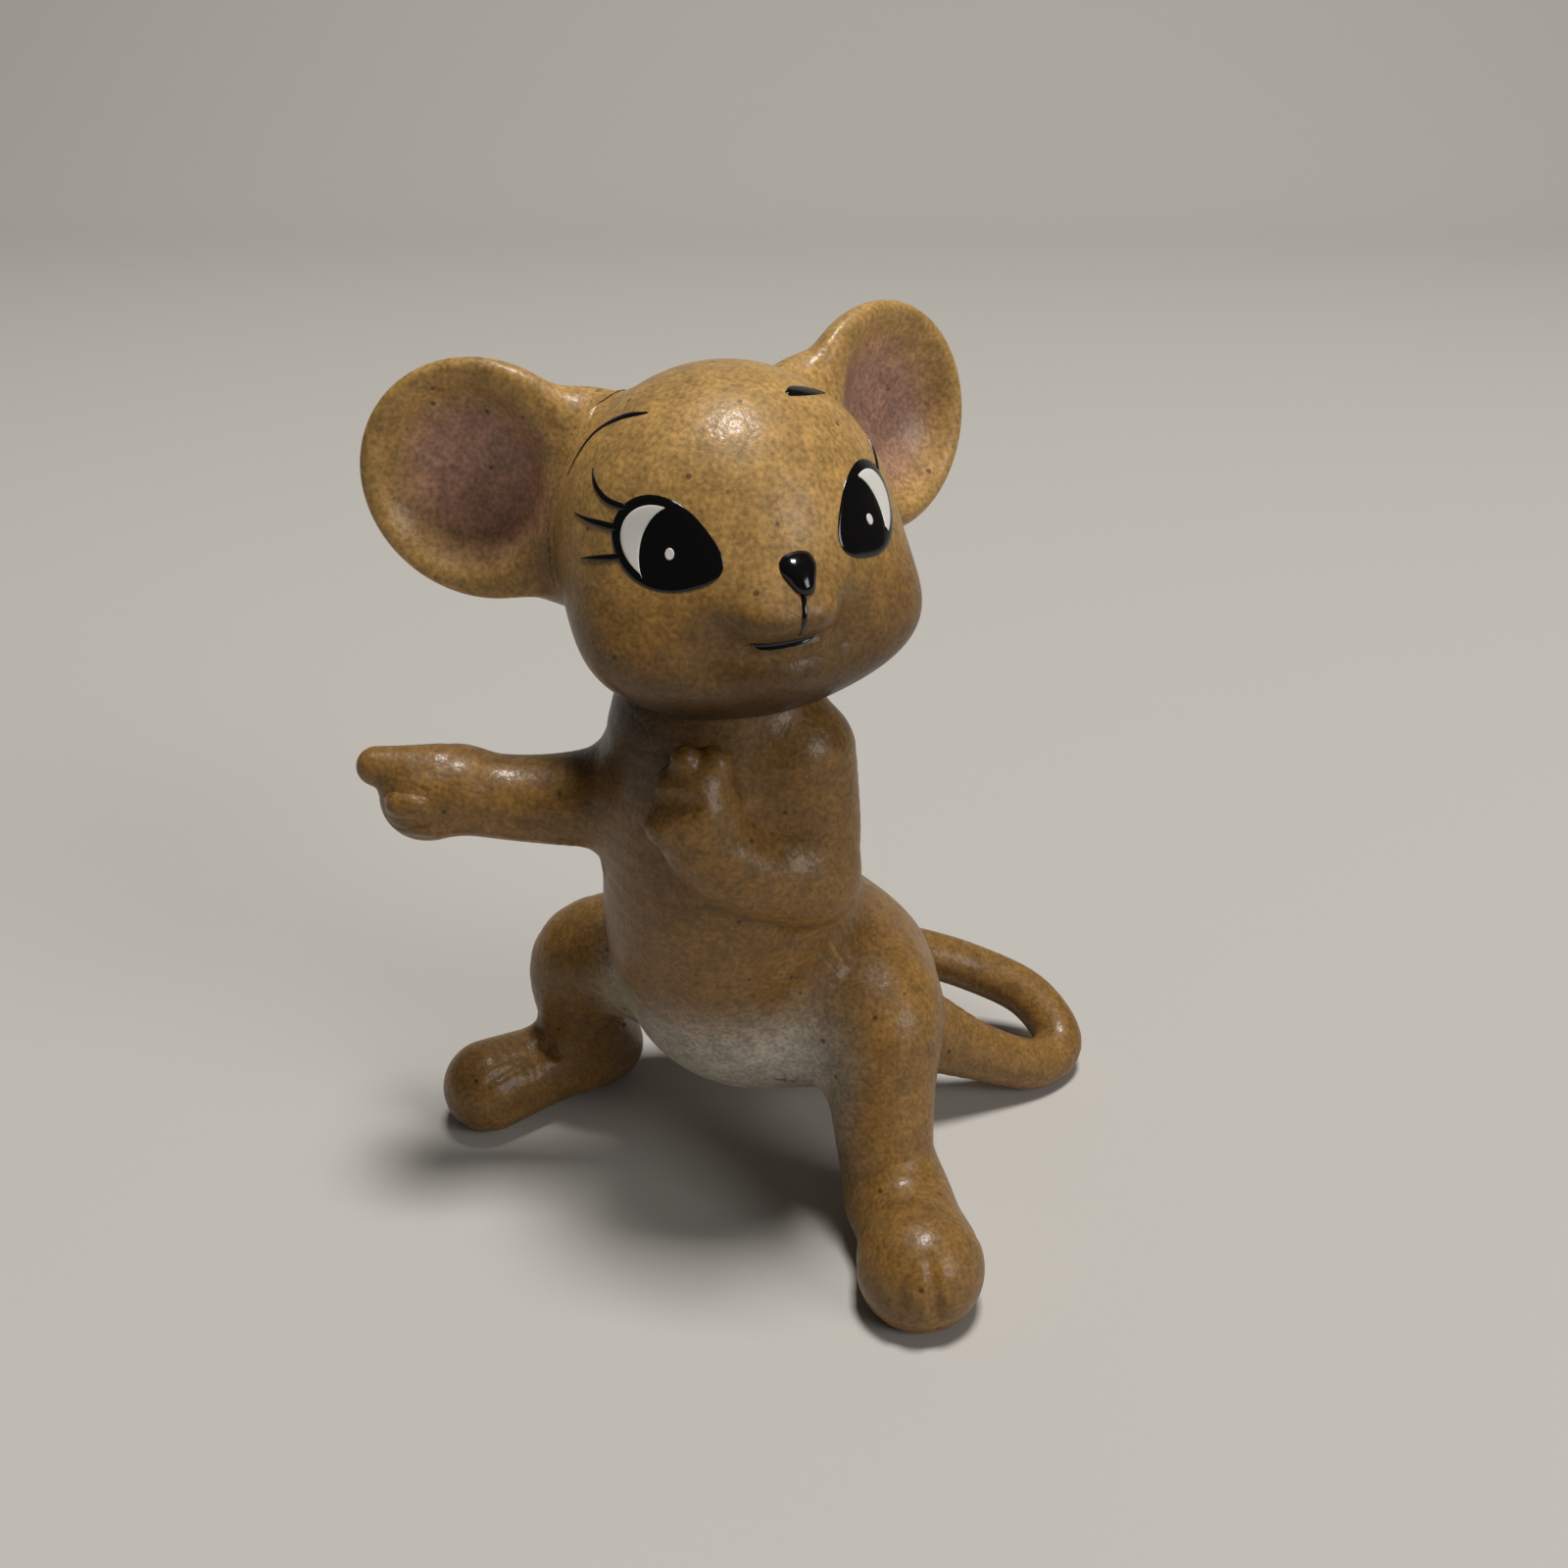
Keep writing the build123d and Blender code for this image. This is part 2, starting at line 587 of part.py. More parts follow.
# Every piece goes to its own file
pieces = {
    "torso": torso.part,
    "head": head.part,
    "left_ear": ears[LEFT],
    "right_ear": ears[RIGHT],
    "left_arm": left_arm.part,
    "right_arm": right_arm.part,
    "left_leg": left_leg.part,
    "right_leg": right_leg.part,
    "tail": tail.part,
    "nose": nose.part,
    **enamels,
}
for name, piece in pieces.items():
    piece.label = name
    export_step(piece, f"parts/{name}.step")
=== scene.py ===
"""The mouse figurine's looks: hand-rolled clay under a grained satin glaze, with gloss enamel marks.

Places and sizes are in millimetres in the part's own frame: +X the mouse's left, +Y its back, +Z up.
Every piece is a surface on a grid of two parameters; solid clay is described by fields that are
negative inside, so that limbs can flow into the body with the soft fillets of smoothed clay.
"""
import math

import bpy
import numpy as np
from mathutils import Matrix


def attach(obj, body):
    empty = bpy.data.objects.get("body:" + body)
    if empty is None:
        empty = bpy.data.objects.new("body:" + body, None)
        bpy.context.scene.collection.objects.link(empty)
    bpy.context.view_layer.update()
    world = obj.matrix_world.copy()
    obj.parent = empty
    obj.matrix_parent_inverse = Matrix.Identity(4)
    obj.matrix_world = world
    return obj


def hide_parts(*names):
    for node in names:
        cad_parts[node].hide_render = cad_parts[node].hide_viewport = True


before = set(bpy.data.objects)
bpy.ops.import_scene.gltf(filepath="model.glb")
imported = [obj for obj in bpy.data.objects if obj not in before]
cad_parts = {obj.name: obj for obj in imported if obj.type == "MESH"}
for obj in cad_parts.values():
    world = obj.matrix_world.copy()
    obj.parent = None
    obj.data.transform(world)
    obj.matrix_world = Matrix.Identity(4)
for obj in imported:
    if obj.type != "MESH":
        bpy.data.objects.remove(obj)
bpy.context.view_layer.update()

MM = 0.001
TINY = 1e-9
LEFT = 1
RIGHT = -1
SIDES = {LEFT: "left", RIGHT: "right"}
UP = (0, 0, 1)
SIDEWAYS = (1, 0, 0)

# Clay rolls: centre and radius of each station along a piece
TORSO = [(1.05, -5.6, 31, 4.5), (0.55, -5.5, 27.6, 5.5), (0.7, -5.2, 22, 6.2), (0.25, -3.8, 16.5, 6.7),
         (0.25, -2.0, 12.4, 6.9)]
RUMP_CENTRE = (2.25, 1.0, 10.2)
RUMP_RADII = (7.4, 6.4, 5.6)
LEG = {
    LEFT: [(6.05, -0.2, 10.5, 4.6), (8.65, -3.2, 11.4, 3.7), (9.55, -4.9, 8.6, 3.0),
           (10.45, -6.5, 5.4, 2.6), (11.25, -7.2, 3.0, 2.6)],
    RIGHT: [(-4.95, -0.2, 10.0, 4.2), (-9.65, -1.8, 9.7, 3.4), (-10.45, -1.8, 6.2, 2.8),
            (-10.35, -1.4, 3.4, 2.5)],
}
FOOT = {
    LEFT: [(11.05, -6.2, 2.3, 2.3), (12.75, -8.9, 2.5, 2.75), (14.05, -11.3, 2.45, 3.3)],
    RIGHT: [(-9.95, -0.2, 2.2, 2.2), (-12.35, -3.8, 2.4, 2.45), (-14.4, -6.7, 2.35, 2.75)],
}
RIGHT_ARM = [(-2.35, -6.0, 24.6, 3.3), (-5.55, -7.2, 23.8, 2.6), (-8.95, -8.6, 23.75, 2.25),
             (-12.35, -10.3, 24.35, 2.15)]
RIGHT_FIST = [(-11.95, -10.1, 24.6, 2.05), (-13.35, -11.0, 24.2, 2.3)]
RIGHT_FINGER = [(-12.75, -10.6, 25.6, 1.3), (-15.45, -11.9, 25.9, 1.02)]
RIGHT_CURLS = [[(-13.6, -12.85, 24.6, 0.7), (-12.8, -12.75, 24.65, 0.66)],
               [(-12.9, -12.6, 23.5, 0.5), (-12.4, -12.5, 23.4, 0.5)]]
LEFT_UPPER_ARM = [(4.85, -6.0, 27.6, 3.1), (5.85, -6.5, 24.0, 2.6), (6.05, -7.0, 21.6, 2.45)]
LEFT_FOREARM = [(6.05, -7.2, 21.6, 2.4), (4.25, -9.6, 22.8, 2.25), (2.55, -10.9, 24.6, 2.15),
                (2.05, -11.0, 26.2, 2.1)]
LEFT_HAND = [(1.85, -11.0, 26.0, 1.85), (1.95, -10.9, 27.6, 1.6)]
LEFT_FINGERS = [[(1.6, -11.2, 27.0, 1.0), (1.6, -11.35, 29.1, 0.7)],
                [(2.6, -10.8, 27.0, 1.1), (2.7, -10.6, 28.7, 0.95)],
                [(1.3, -11.3, 26.6, 1.2), (0.95, -11.4, 27.7, 0.9)],
                [(1.9, -11.6, 25.8, 1.1), (1.0, -12.15, 25.95, 1.1)]]
TAIL = [(4.55, 1.9, 8.6, 3.4), (8.25, 3.6, 6.2, 2.6), (12.25, 6.0, 3.5, 1.75), (15.25, 8.8, 1.45, 1.55),
        (16.05, 11.4, 1.8, 1.5), (13.65, 12.8, 3.6, 1.5), (9.85, 12.2, 5.2, 1.5), (6.45, 10.0, 7.0, 1.5),
        (3.65, 6.8, 8.8, 1.5)]

# Grooves pressed between the fingers and toes: centre and radius of each station of the tool's track
RIGHT_FIST_DENTS = [[(-15.0, -12.2, 25.0, 0.34), (-13.8, -13.0, 25.45, 0.36), (-12.2, -12.75, 25.3, 0.2)],
                    [(-14.2, -12.95, 23.6, 0.3), (-13.0, -13.25, 23.65, 0.3), (-12.1, -12.9, 23.7, 0.2)]]
LEFT_HAND_DENTS = [[(1.4, -12.95, 27.75, 0.55), (2.6, -12.8, 27.6, 0.4)]]
FOOT_GROOVES = {
    LEFT: [[(15.1, -13.35, 5.1, 0.28), (15.6, -14.0, 4.0, 0.34), (15.9, -14.35, 2.2, 0.42)],
           [(14.2, -13.95, 4.75, 0.2), (14.05, -14.6, 3.7, 0.26), (14.05, -14.85, 2.2, 0.36)]],
    RIGHT: [[(-12.1, -6.6, 4.5, 0.16), (-12.65, -7.7, 4.5, 0.34), (-13.15, -8.6, 4.2, 0.28),
             (-13.5, -9.3, 3.5, 0.14)],
            [(-11.8, -4.75, 4.95, 0.15), (-11.3, -4.85, 4.6, 0.3), (-10.7, -4.85, 4.15, 0.15)]],
}

# Widths over which pieces flow together and edges are rounded, and the dip of a graft under the skin
RUMP_BLEND = 4.0
LEG_BLEND = {LEFT: 2.6, RIGHT: 1.6}
FOOT_BLEND = 1.6
ARM_BLEND = {LEFT: 0.9, RIGHT: 1.4}
ELBOW_BLEND = 1.2
FIST_BLEND = 0.8
PAW_BLEND = 0.6
LEFT_FINGER_BLEND = 0.3
CURL_BLEND = 0.25
TAIL_BLEND = 2.2
DENT_ROUNDING = 0.3
SOLE_ROUNDING = 0.6
GRAFT_SINK = 0.05
GRAFT_SINK_SHARES = (0.8, 1.4)

# Steps between two stations of a curved roll, a groove, a straight roll and a path for rays, and along a ray
CURVE_STEPS = 6
GROOVE_STEPS = 2
STRAIGHT = 1
SPINE_STEPS = 12
CAST_STEPS = 40

# Line inside the torso from which rays find its skin
TORSO_SPINE = [(1.25, -5.2, 29.5), (0.9, -5.0, 24.0), (0.6, -3.8, 18.0), (1.4, -0.8, 11.0)]

# Head: a ball turned and tilted on the neck, the reach within which its skin is sought, and its grid
HEAD_CENTRE = np.array((1.1, -4.9, 37.5))
HEAD_TURN = math.radians(42.0)
HEAD_TILT = math.radians(3.5)
HEAD_HALF_WIDTH = 8.05
HEAD_HALF_DEPTH = 7.9
HEAD_HALF_HEIGHT = 8.45
HEAD_REACH = (3.0, 14.0)
HEAD_HALVINGS = 34
HEAD_ROWS = 220
HEAD_COLUMNS = 320

# Hills: turn from the nose, height, bulge, fan in degrees and spread; a negative bulge is a hollow
HEAD_HILLS = [
    (52, -3.5, 1.7, 30, 3.1), (-52, -3.5, 1.7, 30, 3.1),  # cheeks
    (0, -0.3, 1.35, 19, 2.1), (0, -4.8, 0.9, 40, 1.9),  # muzzle and chin
    (42, 2.5, -0.25, 20, 2.0), (-41, 2.5, -0.45, 20, 2.0),  # hollows under the eyes' enamel
    (7, -0.6, 0.55, 7.5, 1.0), (-9, -0.6, 0.6, 7.5, 1.0),  # pads over the mouth
    (-1, -2.7, -0.45, 20, 0.8), (-1, -3.5, 0.35, 15, 0.9),  # hollow and rise of the lower lip
    (20, -1.7, -0.5, 7, 1.1), (-22, -1.7, -0.5, 7, 1.1),  # dimples at the mouth's corners
]

# Room that the head's field leaves for hills, how fast they fade in from the poles, and guards at the poles
HILL_ROOM = 2.4
HILL_FADE = 1.6
POLE_LEVEL = 0.99999
LEAST_ROUND = 0.01

# Mouth groove: place, depth, half width in degrees, half thickness, rise of its ends and how they run out
MOUTH_TURN = -1.0
MOUTH_HEIGHT = -2.0
MOUTH_DEPTH = 0.55
MOUTH_HALF_TURN = 14.0
MOUTH_HALF_THICKNESS = 0.3
MOUTH_RISE = 0.12
MOUTH_END_SHARES = (0.75, 1.15)

# Ears: places and sizes in the head's frame (its left, forward and up) or the ear's own (out, up, facing)
EAR_PLACE = {LEFT: (10.7, -5.6, 3.3), RIGHT: (-10.5, -5.8, 3.2)}
EAR_FACING = {LEFT: (0.16, 0.98, 0.05), RIGHT: (-0.36, 0.93, 0.05)}
EAR_RADIUS = 5.75
EAR_HALF_DEPTH = 2.9
EAR_STRETCH = 0.3
EAR_CUP_SHIFT = 0.7
EAR_CUP_RISE = 1.5
EAR_CUP_RADII = (4.4, 4.9, 2.9)
EAR_ROOT_CENTRE = (-4.4, 0, -0.9)
EAR_ROOT_RADII = (3.4, 5.3, 1.7)
EAR_ROOT_BLEND = 1.0
EAR_LIP_ROUNDING = 0.8
EAR_FRONT_RISE = 0.6
EAR_FRONT_ROUNDING = 0.7
EAR_BLEND = 2.0

# Ear grid: columns crowd toward the root, where they reach out to the head, and a collar backs up the joint
EAR_COLUMNS = 180
EAR_ROWS = 50
EAR_LIP_ROWS = 30
EAR_CROWDING = 0.4
EAR_REACH_SHARE = 0.4
EAR_REACH_FAN = 0.9
EAR_CUP_LEAN = 1.25
EAR_LIP_RISE = 0.25
EAR_COLLAR_SPAN = (-8.0, -3.3)
EAR_COLLAR_ROWS = 60
EAR_COLLAR_COLUMNS = 144
EAR_COLLAR_SINK = 0.03

# Settling on a skin: steps, how far a point may move, length of a probe and least square of the slope
SETTLE_STEPS = 20
SETTLE_LIMIT = 2.6
SETTLE_PROBE = 0.02
SETTLE_LEAST_SLOPE = 0.2


def unit(vector):
    """Vectors scaled to length one."""
    vector = np.asarray(vector, float)
    return vector / np.linalg.norm(vector, axis=-1, keepdims=True)


def join(first, second, blend):
    """Field of two shapes that flow together: the smaller value, rounded over a blend width."""
    share = np.maximum(blend - np.abs(first - second), 0) / blend
    return np.minimum(first, second) - share * share * blend / 4


def meet(first, second, blend):
    """Field of what two shapes share, with a rounded edge."""
    return -join(-first, -second, blend)


def ease(value, low, high):
    """Smooth step from 0 at low to 1 at high."""
    share = np.clip((value - low) / (high - low), 0, 1)
    return share * share * (3 - 2 * share)


def bell(value):
    """Hill of height 1 that fades on both sides: e to the minus square."""
    return np.exp(-value * value)


def turn_from(turn, middle):
    """Degrees from a middle turn, the short way round."""
    return (turn - middle + 180) % 360 - 180


def smooth_path(stations, steps=CURVE_STEPS):
    """Stations joined by a Catmull-Rom curve, with a number of steps between each two."""
    points = np.asarray(stations, float)
    padded = np.vstack([2 * points[0] - points[1], points, 2 * points[-1] - points[-2]])
    share = np.linspace(0, 1, steps, endpoint=False)[None, :, None]
    a, b, c, d = (padded[k:len(padded) - 3 + k, None, :] for k in range(4))
    bend = 2 * a - 5 * b + 4 * c - d + share * (3 * b - a - 3 * c + d)
    curve = b + 0.5 * share * (c - a + share * bend)
    return np.vstack([curve.reshape(-1, points.shape[1]), points[-1:]])


def ball_field(points, centre, radii):
    """Field of a stretched ball: its scaled distance times how far that is past one, over its slope."""
    offset = (points - np.asarray(centre)) / np.asarray(radii)
    near = np.linalg.norm(offset, axis=-1)
    slope = np.linalg.norm(offset / np.asarray(radii), axis=-1)
    return near * (near - 1) / np.maximum(slope, TINY)


def roll_field(points, stations, steps=CURVE_STEPS):
    """Field of a clay roll: distance to the nearest leg of its path, less the radius there."""
    path = smooth_path(stations, steps)
    start = path[:-1, :3]
    way = np.diff(path[:, :3], axis=0)
    flat = points.reshape(-1, 3)
    length = (way * way).sum(-1)
    along = flat @ way.T - (start * way).sum(-1)
    share = np.clip(along / length, 0, 1)
    near = (flat * flat).sum(-1)[:, None] - 2 * flat @ start.T + (start * start).sum(-1)
    gap = np.sqrt(np.maximum(near - share * (2 * along - share * length), 0))
    return (gap - path[:-1, 3] - share * np.diff(path[:, 3])).min(-1).reshape(points.shape[:-1])


def graft(parent, child, blend):
    """Field of a piece smoothed onto another: past the fillet it dips just under its parent's skin."""
    return join(parent, child, blend) + GRAFT_SINK * ease((child - parent) / blend, *GRAFT_SINK_SHARES)


def dented(points, field, dents):
    """Field of a shape with thin rolls pressed out of its skin."""
    for dent in dents:
        field = meet(field, -roll_field(points, dent, GROOVE_STEPS), DENT_ROUNDING)
    return field


def torso_field(points):
    """Field of the pear-shaped body."""
    return join(roll_field(points, TORSO), ball_field(points, RUMP_CENTRE, RUMP_RADII), RUMP_BLEND)


def on_table(points, field):
    """Field of a shape that stands on the table with rounded soles."""
    return meet(field, -points[..., 2], SOLE_ROUNDING)


HEAD_FORWARD = np.array((math.sin(HEAD_TURN), -math.cos(HEAD_TURN), 0))
HEAD_LEFT = np.array((math.cos(HEAD_TURN), math.sin(HEAD_TURN), 0)) * math.cos(HEAD_TILT)
HEAD_LEFT = HEAD_LEFT + np.array((0, 0, math.sin(HEAD_TILT)))
HEAD_UP = np.cross(HEAD_LEFT, HEAD_FORWARD) * -1
HEAD_AXES = np.array((HEAD_LEFT, HEAD_FORWARD, HEAD_UP))


def head_local(points):
    """Points in the head's frame: its left, forward and up."""
    return (points - HEAD_CENTRE) @ HEAD_AXES.T


def head_radius(turn, height):
    """Distance of the head's skin from its upright axis: an oval plus soft hills and the mouth groove."""
    level = np.clip(height / HEAD_HALF_HEIGHT, -POLE_LEVEL, POLE_LEVEL)
    round_share = np.sqrt(1 - level * level)
    angle = np.radians(turn)
    radius = round_share / np.hypot(np.sin(angle) / HEAD_HALF_WIDTH, np.cos(angle) / HEAD_HALF_DEPTH)
    fade = np.minimum(round_share * HILL_FADE, 1)
    for at, up, bulge, fan, spread in HEAD_HILLS:
        radius = radius + bulge * fade * bell(turn_from(turn, at) / fan) * bell((height - up) / spread)
    across = turn_from(turn, MOUTH_TURN)
    smile = MOUTH_HEIGHT + MOUTH_RISE * (across / MOUTH_HALF_TURN) ** 2
    full_turn, end_turn = (MOUTH_HALF_TURN * share for share in MOUTH_END_SHARES)
    ends = 1 - ease(np.abs(across), full_turn, end_turn)
    return radius - MOUTH_DEPTH * ends * bell((height - smile) / MOUTH_HALF_THICKNESS)


def head_field(points):
    """Field of the head, near enough to a distance close to its skin."""
    local = head_local(points)
    reach = np.hypot(local[..., 0], local[..., 1])
    turn = np.degrees(np.arctan2(local[..., 0], local[..., 1]))
    level = np.clip(local[..., 2] / HEAD_HALF_HEIGHT, -1, 1)
    slope = np.sqrt(np.maximum(1 - level * level, LEAST_ROUND))
    side = (reach - head_radius(turn, local[..., 2])) * slope
    radii = (HEAD_HALF_WIDTH + HILL_ROOM, HEAD_HALF_DEPTH + HILL_ROOM, HEAD_HALF_HEIGHT)
    return np.maximum(side, ball_field(local, (0, 0, 0), radii))


def head_skin(ways):
    """Places where rays from the head's centre leave its skin, found by halving."""
    low = np.full(ways.shape[:-1], HEAD_REACH[0])
    high = np.full(ways.shape[:-1], HEAD_REACH[1])
    for _ in range(HEAD_HALVINGS):
        middle = (low + high) / 2
        inside = head_field(HEAD_CENTRE + middle[..., None] * ways) < 0
        low = np.where(inside, middle, low)
        high = np.where(inside, high, middle)
    return HEAD_CENTRE + low[..., None] * ways


def cast(field, origins, ways):
    """Places where rays from inside a shape leave it, found by steps as long as the field allows."""
    reach = np.zeros(ways.shape[:-1])
    for _ in range(CAST_STEPS):
        reach = reach - field(origins + reach[..., None] * ways)
    return origins + reach[..., None] * ways


def frames_along(places, hint):
    """Direction of a path at each place and two directions square to it."""
    way = unit(np.gradient(places, axis=0))
    first = np.zeros_like(way)
    side = np.asarray(hint, float)
    for row in range(len(way)):
        side = side - way[row] * (side @ way[row])
        side = side / np.linalg.norm(side)
        first[row] = side
    return way, first, np.cross(way, first)


def grid_faces(rows, columns):
    """Quads of a grid that closes round its columns, facing out when rows run along the roll."""
    row, column = np.meshgrid(np.arange(rows - 1), np.arange(columns), indexing="ij")
    after = (column + 1) % columns
    quads = np.stack([row * columns + column, row * columns + after,
                      (row + 1) * columns + after, (row + 1) * columns + column], axis=-1)
    return quads.reshape(-1, 4)


def closed_grid(points, inner):
    """Points and faces of a roll's grid, shut at the root by a point inside and at the tip by its mean."""
    rows, columns = points.shape[:2]
    body = points[:-1].reshape(-1, 3)
    tip = points[-1].mean(0)
    verts = np.vstack([body, inner, tip])
    quads = grid_faces(rows - 1, columns)
    column = np.arange(columns)
    after = (column + 1) % columns
    last = (rows - 2) * columns
    root_fan = np.stack([np.full(columns, len(body)), after, column], axis=1)
    tip_fan = np.stack([last + column, last + after, np.full(columns, len(body) + 1)], axis=1)
    return verts, [quads, root_fan, tip_fan]


def ball_grid(points):
    """Points and faces of a grid whose first and last rows each shrink to a point."""
    return closed_grid(points[1:], points[0].mean(0))


def open_grid(points):
    """Points and faces of a sheet: quads between neighbouring rows and columns."""
    rows, columns = points.shape[:2]
    row, column = np.meshgrid(np.arange(rows - 1), np.arange(columns - 1), indexing="ij")
    quads = np.stack([row * columns + column, row * columns + column + 1,
                      (row + 1) * columns + column + 1, (row + 1) * columns + column], axis=-1)
    return points.reshape(-1, 3), [quads.reshape(-1, 4)]


def skin_roll(field, stations, hint, root_lean=150, rows=70, fan_rows=26, around=96):
    """Points and faces where rays from a roll's path leave a field, fanned backward at the root.

    Row parameter runs along the path, column parameter turns round it; the fans at both ends lean from
    square to the path, at the root as far as a lean in degrees and at the tip to straight ahead.
    """
    path = smooth_path(stations, SPINE_STEPS)[:, :3]
    length = np.concatenate([[0], np.cumsum(np.linalg.norm(np.diff(path, axis=0), axis=1))])
    spots = np.linspace(0, length[-1], rows)
    places = np.stack([np.interp(spots, length, path[:, k]) for k in range(3)], axis=1)
    way, first, second = frames_along(places, hint)
    lean_root = np.linspace(math.radians(root_lean), math.pi / 2, fan_rows, endpoint=False)
    lean_tip = np.linspace(math.pi / 2, 0, fan_rows + 1)[1:]
    index = np.concatenate([np.zeros(fan_rows, int), np.arange(rows), np.full(fan_rows, rows - 1)])
    lean = np.concatenate([lean_root, np.full(rows, math.pi / 2), lean_tip])[:, None, None]
    turn = np.linspace(0, math.tau, around, endpoint=False)[None, :, None]
    ring = np.cos(turn) * first[index][:, None] + np.sin(turn) * second[index][:, None]
    ways = np.cos(lean) * way[index][:, None] + np.sin(lean) * ring
    return closed_grid(cast(field, places[index][:, None] + np.zeros_like(ways), ways), places[0])


def make_piece(name, islands, material, nodes, tint=None):
    """One mesh object from islands of points and faces, in the frame, standing for CAD nodes."""
    verts, faces, offset = [], [], 0
    for points, groups in islands:
        verts.append(points)
        for group in groups:
            faces.extend((group + offset).tolist())
        offset += len(points)
    points = np.vstack(verts)
    mesh = bpy.data.meshes.new(name)
    mesh.from_pydata((points * MM).tolist(), [], faces)
    mesh.polygons.foreach_set("use_smooth", np.ones(len(mesh.polygons), bool))
    if tint is not None:
        layer = mesh.color_attributes.new("tint", "FLOAT_COLOR", "POINT")
        layer.data.foreach_set("color", tint(points).astype(np.float32).ravel())
    mesh.validate()
    mesh.update()
    piece = bpy.data.objects.new(name, mesh)
    bpy.context.scene.collection.objects.link(piece)
    mesh.materials.append(material)
    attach(piece, "root")
    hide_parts(*nodes)


# Colours of glaze and enamel, as they look in daylight; the dark one is also laid on as painted shade
GLAZE_BROWN = "7c5a2b"
GLAZE_HEAD = "a88249"
# Dark glaze, sprayed on in part, and painted shade under the head, under the jaw and round the mouth
DARK_GLAZE_AND_SHADE = "291a0a"
BELLY_GREY = "aba394"
EAR_PINK = "a67d68"
ENAMEL_COLOURS = {"black_enamel": "0c0a09", "white_enamel": "dcd8cf"}

# Sprays on the body: where the pale belly fades out upward, sideways and backward, and the dark round the
# neck, partly a dark spray and partly painted shade under the head
BELLY_MIDDLE = 0.6
BELLY_TOP_FADE = (10.0, 15.5)
BELLY_SIDE_FADE = (5.0, 9.5)
BELLY_BACK_FADE = (-3.0, 3.0)
NECK_SPRAY_AND_SHADE_CENTRE = np.array((-1.0, -6.5, 29.5))
NECK_SPRAY_AND_SHADE_RADII = np.array((7.5, 7.0, 6.5))
NECK_SPRAY_AND_SHADE_FADE = (0.45, 1.1)
NECK_SPRAY_AND_SHADE_STRENGTH = 0.8

# Head: browner lower down by height; darkened under the jaw by height and round the mouth by turn and
# height, partly a dark spray and partly painted shade
CHEEK_FADE = (-1.5, 3.0)
JAW_SPRAY_AND_SHADE_FADE = (-6.0, -1.0)
JAW_SPRAY_AND_SHADE_STRENGTH = 0.93
MOUTH_SPRAY_AND_SHADE_STRENGTH = 0.6
MOUTH_SPRAY_AND_SHADE_HEIGHT = -1.4
MOUTH_SPRAY_AND_SHADE_FAN = 18
MOUTH_SPRAY_AND_SHADE_SPREAD = 1.4

# Sprays on the ears: where head colours fade off the root, how deep the cup's front lies and its pink
EAR_ROOT_FADE = (0.4, 3.0)
EAR_FRONT_DEPTH = 2.2
EAR_PINK_FADE = (2.2, 4.9)


def colour(code):
    """Linear colour of an sRGB hex code."""
    share = np.array([int(code[k:k + 2], 16) / 255 for k in (0, 2, 4)])
    return np.where(share <= 0.04045, share / 12.92, ((share + 0.055) / 1.055) ** 2.4)


def mixed(base, over, share):
    """Colours with another laid over them by a share at each point."""
    return base + (colour(over) - base) * share[..., None]


def with_alpha(colours):
    """Colours with a solid fourth channel."""
    return np.concatenate([colours, np.ones(colours.shape[:-1] + (1,))], axis=-1)


def body_tint(points):
    """Brown glaze with the pale belly sprayed on from in front, and dark round the neck: partly a dark
    spray, partly painted shade under the head.
    """
    base = np.broadcast_to(colour(GLAZE_BROWN), points.shape)
    low = 1 - ease(points[..., 2], *BELLY_TOP_FADE)
    inner = 1 - ease(np.abs(points[..., 0] - BELLY_MIDDLE), *BELLY_SIDE_FADE)
    front = 1 - ease(points[..., 1], *BELLY_BACK_FADE)
    # Painted shade under the head round the neck, over a real dark spray: darker nearer the middle
    near = np.linalg.norm((points - NECK_SPRAY_AND_SHADE_CENTRE) / NECK_SPRAY_AND_SHADE_RADII, axis=-1)
    neck = NECK_SPRAY_AND_SHADE_STRENGTH * (1 - ease(near, *NECK_SPRAY_AND_SHADE_FADE))
    return with_alpha(mixed(mixed(base, BELLY_GREY, low * inner * front), DARK_GLAZE_AND_SHADE, neck))


def head_colours(points):
    """Head glaze, browner over the cheeks, darkened under the jaw and round the mouth: partly a dark spray,
    partly painted shade.
    """
    local = head_local(points)
    turn = np.degrees(np.arctan2(local[..., 0], local[..., 1]))
    height = local[..., 2]
    base = np.broadcast_to(colour(GLAZE_HEAD), points.shape)
    cheeks = 1 - ease(height, *CHEEK_FADE)
    # Painted shade under the jaw, over a real dark spray: darker lower down
    jaw = JAW_SPRAY_AND_SHADE_STRENGTH * (1 - ease(height, *JAW_SPRAY_AND_SHADE_FADE))
    # Painted shade in and round the mouth groove, over a real dark spray
    mouth = MOUTH_SPRAY_AND_SHADE_STRENGTH * bell((turn - MOUTH_TURN) / MOUTH_SPRAY_AND_SHADE_FAN)
    mouth = mouth * bell((height - MOUTH_SPRAY_AND_SHADE_HEIGHT) / MOUTH_SPRAY_AND_SHADE_SPREAD)
    dark = np.maximum(jaw, mouth)
    return mixed(mixed(base, GLAZE_BROWN, cheeks), DARK_GLAZE_AND_SHADE, dark)


def head_tint(points):
    """Head colours, solid."""
    return with_alpha(head_colours(points))


